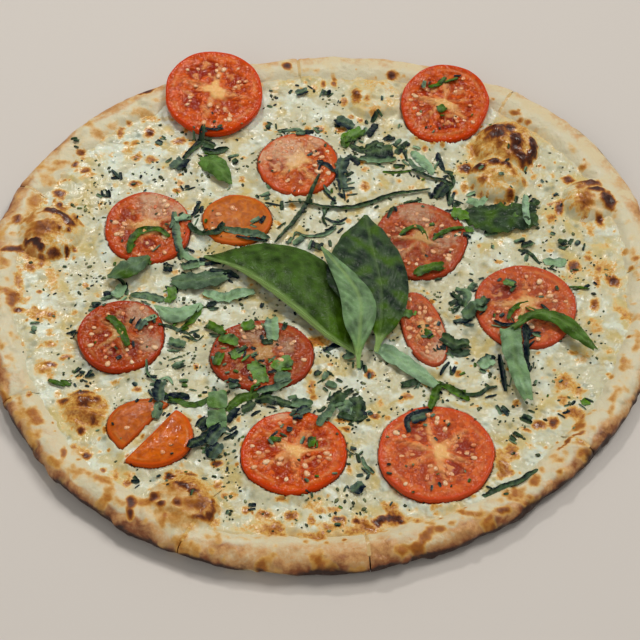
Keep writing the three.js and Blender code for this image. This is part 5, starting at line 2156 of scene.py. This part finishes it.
@dataclass
class BasilBlades:
    """The sprig's leaves and the large torn pieces: quilted between their veins and ruffled."""

    thick: float = 0.4
    quilt: float = 0.55
    cell: float = 1.0
    fewest: int = 14
    crease: float = 50.0
    seed: int = 31

    def build(self, finish: bpy.types.Material) -> list[bpy.types.Object]:
        """Makes every blade.

        Args:
            finish: The material.

        Returns:
            The objects.
        """
        self.noise = Noise(self.seed)
        return [self.make(blade, finish) for blade in BLADES]

    def make(self, blade: Blade, finish: bpy.types.Material) -> bpy.types.Object:
        """Makes one blade at its node's height.

        Args:
            blade: The blade.
            finish: The material.

        Returns:
            The object.
        """
        share = np.linspace(0, 1, max(int(length_of(blade.spine) / self.cell), self.fewest) + 1)
        half = max(int(max(blade.left + blade.right) / self.cell), 6)
        side = np.linspace(-1, 1, 2 * half + 1)[None, :]
        x, y, z, reach = self.spread(blade, share, side)
        share, edge, shift = share[:, None], np.abs(side), side * reach
        fill = reach / np.where(side > 0, max(blade.left), max(blade.right))
        z = z - np.where(side > 0, *blade.drop) * fill * edge ** 2 + self.ruffle(blade, x, y, edge)
        phase = (share * 1.15 - 0.34 * edge * fill) * blade.veins
        gap = np.abs(phase - np.round(phase)) * 2
        quilt = smooth(0.0, 0.8, gap) * smooth(0.03, 0.25, edge) * (0.35 + 0.65 * smooth(1.0, 0.8, edge))
        rib = smooth(1.3, 0.5, np.abs(shift))
        z = z + (self.quilt * quilt - 0.35 * rib) * smooth(0.0, 0.15, share) * smooth(1.0, 0.9, share)
        vein = np.maximum(0.6 * rib, 0.12 * smooth(0.16, 0.04, gap) * smooth(1.0, 0.6, edge))
        vein = vein * blade.rib * (0.4 if blade.torn else 1.0)
        # A blade with one slim side, as the first leaf has, is painted pale along it: a painted highlight on
        # its folded edge.
        edge_highlight = smooth(-0.05, 0.2, side) * (max(blade.left) < 3 and max(blade.right) > 9)
        vein = np.maximum(vein, 0.95 * edge_highlight)
        if blade.stem:
            vein = np.maximum(vein, 0.8 * smooth(blade.stem + 0.05, blade.stem - 0.02, share))
        shade, warmth = self.colouring(blade, x, y)
        base = smooth(0.4, 0.05, share) * (not blade.torn)
        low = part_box(blade.node)[0][2] / MM
        skin = Skin()
        sheet(skin, x, y, z + low - z.min(), self.thick, shade=np.clip(shade + 0.2 * base, 0, 1),
              warmth=np.clip(warmth + 0.4 * base, 0, 1), vein=np.clip(vein, 0, 1))
        return skin.piece(blade.node + "_blade", finish, "basil", [blade.node], self.crease)

    def spread(self, blade: Blade, share: Array, side: Array) -> tuple[Array, Array, Array, Array]:
        """Lays a blade out flat to both sides of its spine, with torn edges on the torn pieces.

        Args:
            blade: The blade.
            share: Places along the spine, 0 to 1.
            side: Places across, -1 to 1.

        Returns:
            The points' x, y and z, and how far the blade reaches there.
        """
        at, key = self.noise.at, blade.spine[0][0]
        line, ahead = curve_through(blade.spine, share)
        ahead = ahead[:, :2] / np.linalg.norm(ahead[:, :2], axis=1, keepdims=True)
        left, right = (self.profile(widths, share) for widths in (blade.left, blade.right))
        if blade.torn:
            along = share * length_of(blade.spine)
            ragged = [0.4 * at(6, along, key + way) + 0.18 * at(2.4, along, key + way) for way in (3.0, 19.0)]
            left, right = (part * (1 + blade.ruffle * wild) for part, wild in zip((left, right), ragged))
        reach = np.where(side > 0, left[:, None], right[:, None])
        x = line[:, :1] - ahead[:, 1:] * side * reach
        y = line[:, 1:2] + ahead[:, :1] * side * reach
        if blade.torn:
            pull = 0.3 * max(blade.left) * at(0.8, side + key, key) * (share ** 4 - (1 - share) ** 4)[:, None]
            x, y = x + pull * ahead[:, :1], y + pull * ahead[:, 1:]
        return x, y, line[:, 2:], reach

    def ruffle(self, blade: Blade, x: Array, y: Array, edge: Array) -> Array:
        """How far a blade's waves and creases stand up.

        Args:
            blade: The blade.
            x: Across the pizza.
            y: Away from the front.
            edge: 0 on the spine to 1 on the blade's edge.

        Returns:
            The heights.
        """
        at, key = self.noise.at, blade.spine[0][0]
        waves = (at(11, x + key, y) + 0.5 * at(5, x, y + key)) * (0.4 + edge) + 0.3 * at(2.4, x, y)
        if not blade.torn:
            return blade.ruffle * waves
        creases = 2.4 * np.minimum(np.abs(at(9, x + key, y * 1.3)), 0.7) + 0.9 * np.abs(at(4, x, y + key))
        return blade.ruffle * waves + creases

    def profile(self, widths: Sequence[float], share: Array) -> Array:
        """A smooth half width along the spine."""
        points, _ = curve_through(list(enumerate(widths)), share)
        return np.maximum(points[:, 1], 0.4)

    def colouring(self, blade: Blade, x: Array, y: Array) -> tuple[Array, Array]:
        """The shade and warmth over a blade.

        Args:
            blade: The blade.
            x: Across the pizza.
            y: Away from the front.

        Returns:
            The shade and the warmth.
        """
        shade, warmth = blade.tone.value
        shade = shade + self.noise.layers(8, 4, x, y + 70) * (0.12 + 0.4 * shade)
        if blade.second:
            mix = smooth(-0.2, 0.5, self.noise.at(8, x + 40, y))
            shade = shade + (blade.second.value[0] - shade) * mix
            warmth = warmth + (blade.second.value[1] - warmth) * mix
        return np.clip(shade, 0, 1), np.full_like(x, warmth)


# ---- Small things ----


@dataclass
class HerbSpecks:
    """Dried herb flakes over the cheese and a few on the tomatoes."""

    ground: Ground
    count: int = 2400
    small: float = 0.5
    large: float = 2.6
    reach: float = 166.0
    seed: int = 41

    CORNERS = (0, 70, 115, 180, 250, 300)
    HEIGHTS = (0, 0.2, -0.1, 0.1, 0.15, -0.1)

    def build(self, finish: bpy.types.Material) -> bpy.types.Object:
        """Makes the flakes as one piece.

        Args:
            finish: The material.

        Returns:
            The object.
        """
        rng, noise, tries = np.random.default_rng(self.seed), Noise(self.seed + 1), self.count * 3
        angle, away = rng.uniform(0, math.tau, tries), self.reach * np.sqrt(rng.uniform(0, 1, tries))
        x, y = away * np.cos(angle), away * np.sin(angle)
        dense = 0.16 + 0.84 * smooth(-0.2, 0.7, noise.layers(19, 3, x, y))
        on_tomato = self.ground.sample("near_tomato", x, y) < 0.5
        dense = np.where(on_tomato, dense * 0.12, dense) * smooth(164, 132, FORM.ring(x, y))
        for dome in DOMES:
            dense = dense * smooth(0.95, 1.15, dome.away(x, y))
        keep = np.flatnonzero(rng.uniform(0, 1, tries) < dense)[:self.count]
        x, y, many = x[keep], y[keep], len(keep)
        size = self.small + (self.large - self.small) * rng.beta(1.5, 3.6, many)
        turn, lean, long = (rng.uniform(*ends, many) for ends in ((0, math.tau), (-0.5, 0.5), (1.0, 2.0)))
        points, faces = self.flake()
        size, turn, lean = size[:, None], turn[:, None], lean[:, None]
        along, across, up = (points[None, :, part] * size for part in range(3))
        along = along * long[:, None]
        dx, dy = turned(along, across, (np.cos(turn), np.sin(turn)))
        z = self.ground.sample("top", x, y)[:, None] + 0.08
        z = z + np.maximum(up * 0.45 + along * np.sin(lean) * 0.4, -0.2)
        number = faces[None] + (np.arange(many) * len(points))[:, None, None]
        skin, shade = Skin(), np.repeat(rng.uniform(0, 1, many) ** 1.3, len(points))
        skin.add(points_at(x[:, None] + dx, y[:, None] + dy, z), number, shade=shade)
        return skin.piece("herb_specks", finish, "basil")

    def flake(self) -> tuple[Array, Array]:
        """A flake of unit size: a flat six-sided double cone.

        Returns:
            Its points and faces.
        """
        rim = [(*(part / 2 for part in heading(turn)), z) for turn, z in zip(self.CORNERS, self.HEIGHTS)]
        ring = [(i, (i + 1) % len(rim)) for i in range(len(rim))]
        faces = [(a, b, len(rim)) for a, b in ring] + [(b, a, len(rim) + 1) for a, b in ring]
        return np.array([*rim, (0, 0, 0.5), (0, 0, -0.4)]), np.array(faces)


@dataclass
class TomatoSeedsAndGlints:
    """The seeds in the gel of the tomato slices, and pale beads that are painted highlights."""

    tomatoes: list[TomatoSlice]
    length: float = 3.6
    width: float = 2.7
    height: float = 1.0
    pointed: float = 0.25

    RINGS = 4
    AROUND = 8

    def build(self, finish: bpy.types.Material) -> bpy.types.Object:
        """Makes the seeds and the painted-highlight beads as one piece.

        Args:
            finish: The material.

        Returns:
            The object.
        """
        skin, shape = Skin(), np.array([self.length, self.width, self.height])
        points, faces = self.shell()
        for tomato in self.tomatoes:
            for x, y, z, turn, shade, size in tomato.seeds():
                along, across, up = (points * shape * size).T
                dx, dy = turned(along, across, (math.cos(turn), math.sin(turn)))
                skin.add(points_at(x + dx, y + dy, z + up), faces, shade=shade)
        return skin.piece("tomato_seeds_and_glints", finish, "tomato")

    def shell(self) -> tuple[Array, Array]:
        """A seed of unit size, pointed at one end.

        Returns:
            Its points and faces.
        """
        down = np.linspace(0, math.pi, self.RINGS + 2)[1:-1, None]
        around = np.linspace(0, math.tau, self.AROUND, endpoint=False)
        x, y, z = np.sin(down) * np.cos(around), np.sin(down) * np.sin(around), np.cos(down)
        rings = points_at(x * (1 - self.pointed * x), y, z).reshape(-1, 3)
        number = np.arange(len(rings)).reshape(self.RINGS, self.AROUND) + 1
        rows = [np.array([0]), *map(closed, number), np.array([len(rings) + 1])]
        return np.array([(0, 0, 1), *rings, (0, 0, -1)]) / 2, joined(rows)


# ---- Studio ----


@dataclass(frozen=True)
class Studio:
    """The floor, the lights and the camera."""

    target: tuple[float, float, float] = (-0.77, -19.73, 6.0)
    away: float = 1100.0
    elevation: float = 52.0
    sensor: float = 36.0
    lens: float = 117.75
    floor_size: float = 6000.0
    floor_colour: Colour = srgb(212, 206, 199)
    light_colour: Colour = (1.0, 0.97, 0.93)
    ambient: float = 0.28

    def build(self) -> None:
        """Makes everything."""
        self.lay_floor()
        self.hang_lights()
        self.place_camera()

    def lay_floor(self) -> None:
        """A plain pale floor just under the pizza."""
        half = self.floor_size / 2 * MM
        mesh = bpy.data.meshes.new("floor")
        corners = [(-half, -half, 0), (half, -half, 0), (half, half, 0), (-half, half, 0)]
        mesh.from_pydata(corners, [], [(0, 1, 2, 3)])
        floor = bpy.data.objects.new("floor", mesh)
        bpy.context.scene.collection.objects.link(floor)
        floor.location.z = -0.2 * MM
        mesh.materials.append(Bench("floor").finish(Base_Color=self.floor_colour, Roughness=0.7))
        floor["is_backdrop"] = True

    def hang_lights(self) -> None:
        """A broad soft light behind on the right, a fill in front, a small one for gloss, and the air's."""
        world = bpy.data.worlds.new("studio")
        world.use_nodes = True
        background = world.node_tree.nodes["Background"].inputs
        background["Color"].default_value = (*self.light_colour, 1.0)
        background["Strength"].default_value = self.ambient
        bpy.context.scene.world = world
        sun = bpy.data.lights.new("soft_sun", "SUN")
        sun.energy, sun.angle = 1.32, math.radians(20)
        fill = bpy.data.lights.new("front_fill", "SUN")
        fill.energy, fill.angle = 0.55, math.radians(60)
        glint = bpy.data.lights.new("glint_light", "AREA")
        glint.shape, glint.size, glint.energy = "DISK", 0.2, 10.0
        for lamp, place in ((sun, (0.85, 0.7, 1.35)), (fill, (-0.9, -1.0, 0.8)), (glint, (-0.3, 1.25, 1.5))):
            lamp.color = self.light_colour
            hung = bpy.data.objects.new(lamp.name, lamp)
            hung.location = place
            hung.rotation_euler = (-Vector(place)).to_track_quat("-Z", "Y").to_euler()
            bpy.context.scene.collection.objects.link(hung)

    def place_camera(self) -> None:
        """The camera, in front and above."""
        camera = bpy.data.cameras.new("camera")
        camera.sensor_width, camera.lens = self.sensor, self.lens
        camera.clip_start, camera.clip_end = 0.01, 20.0
        seen = bpy.data.objects.new("camera", camera)
        level, up = heading(self.elevation)
        back = Vector((0.0, -level, up))
        seen.location = (Vector(self.target) + back * self.away) * MM
        seen.rotation_euler = (-back).to_track_quat("-Z", "Y").to_euler()
        bpy.context.scene.collection.objects.link(seen)
        bpy.context.scene.camera = seen
        bpy.context.scene.view_settings.view_transform = "Standard"


def write_sizes() -> None:
    """Works out the frame's box and the finished model's, and writes neither."""
    boxes = {"cad": CAD_BOX, "visual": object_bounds()}
    {name: [list(corner) for corner in box] for name, box in boxes.items()}


def main() -> None:
    """Makes the pizza's pieces in order, then the studio."""
    logging.basicConfig(level=logging.INFO, format="%(name)s %(message)s")
    ground = Ground()
    tomatoes = [TomatoSlice(cut, index) for index, cut in enumerate(TOMATO_CUTS)]
    Bake(ground, tomatoes).run()
    DoughSlices(ground).build(CrustFinish().material())
    CheeseSlices(ground).build(CheeseFinish().material())
    flesh = TomatoFinish().material()
    for tomato in tomatoes:
        tomato.build(flesh)
    TomatoSeedsAndGlints(tomatoes).build(SeedAndGlintFinish().material())
    basil = BasilFinish().material()
    BasilBlades().build(basil)
    BasilStrips(ground).build(basil)
    HerbSpecks(ground).build(HerbFinish().material())
    Studio().build()
    write_sizes()


if __name__ == "__main__":
    main()
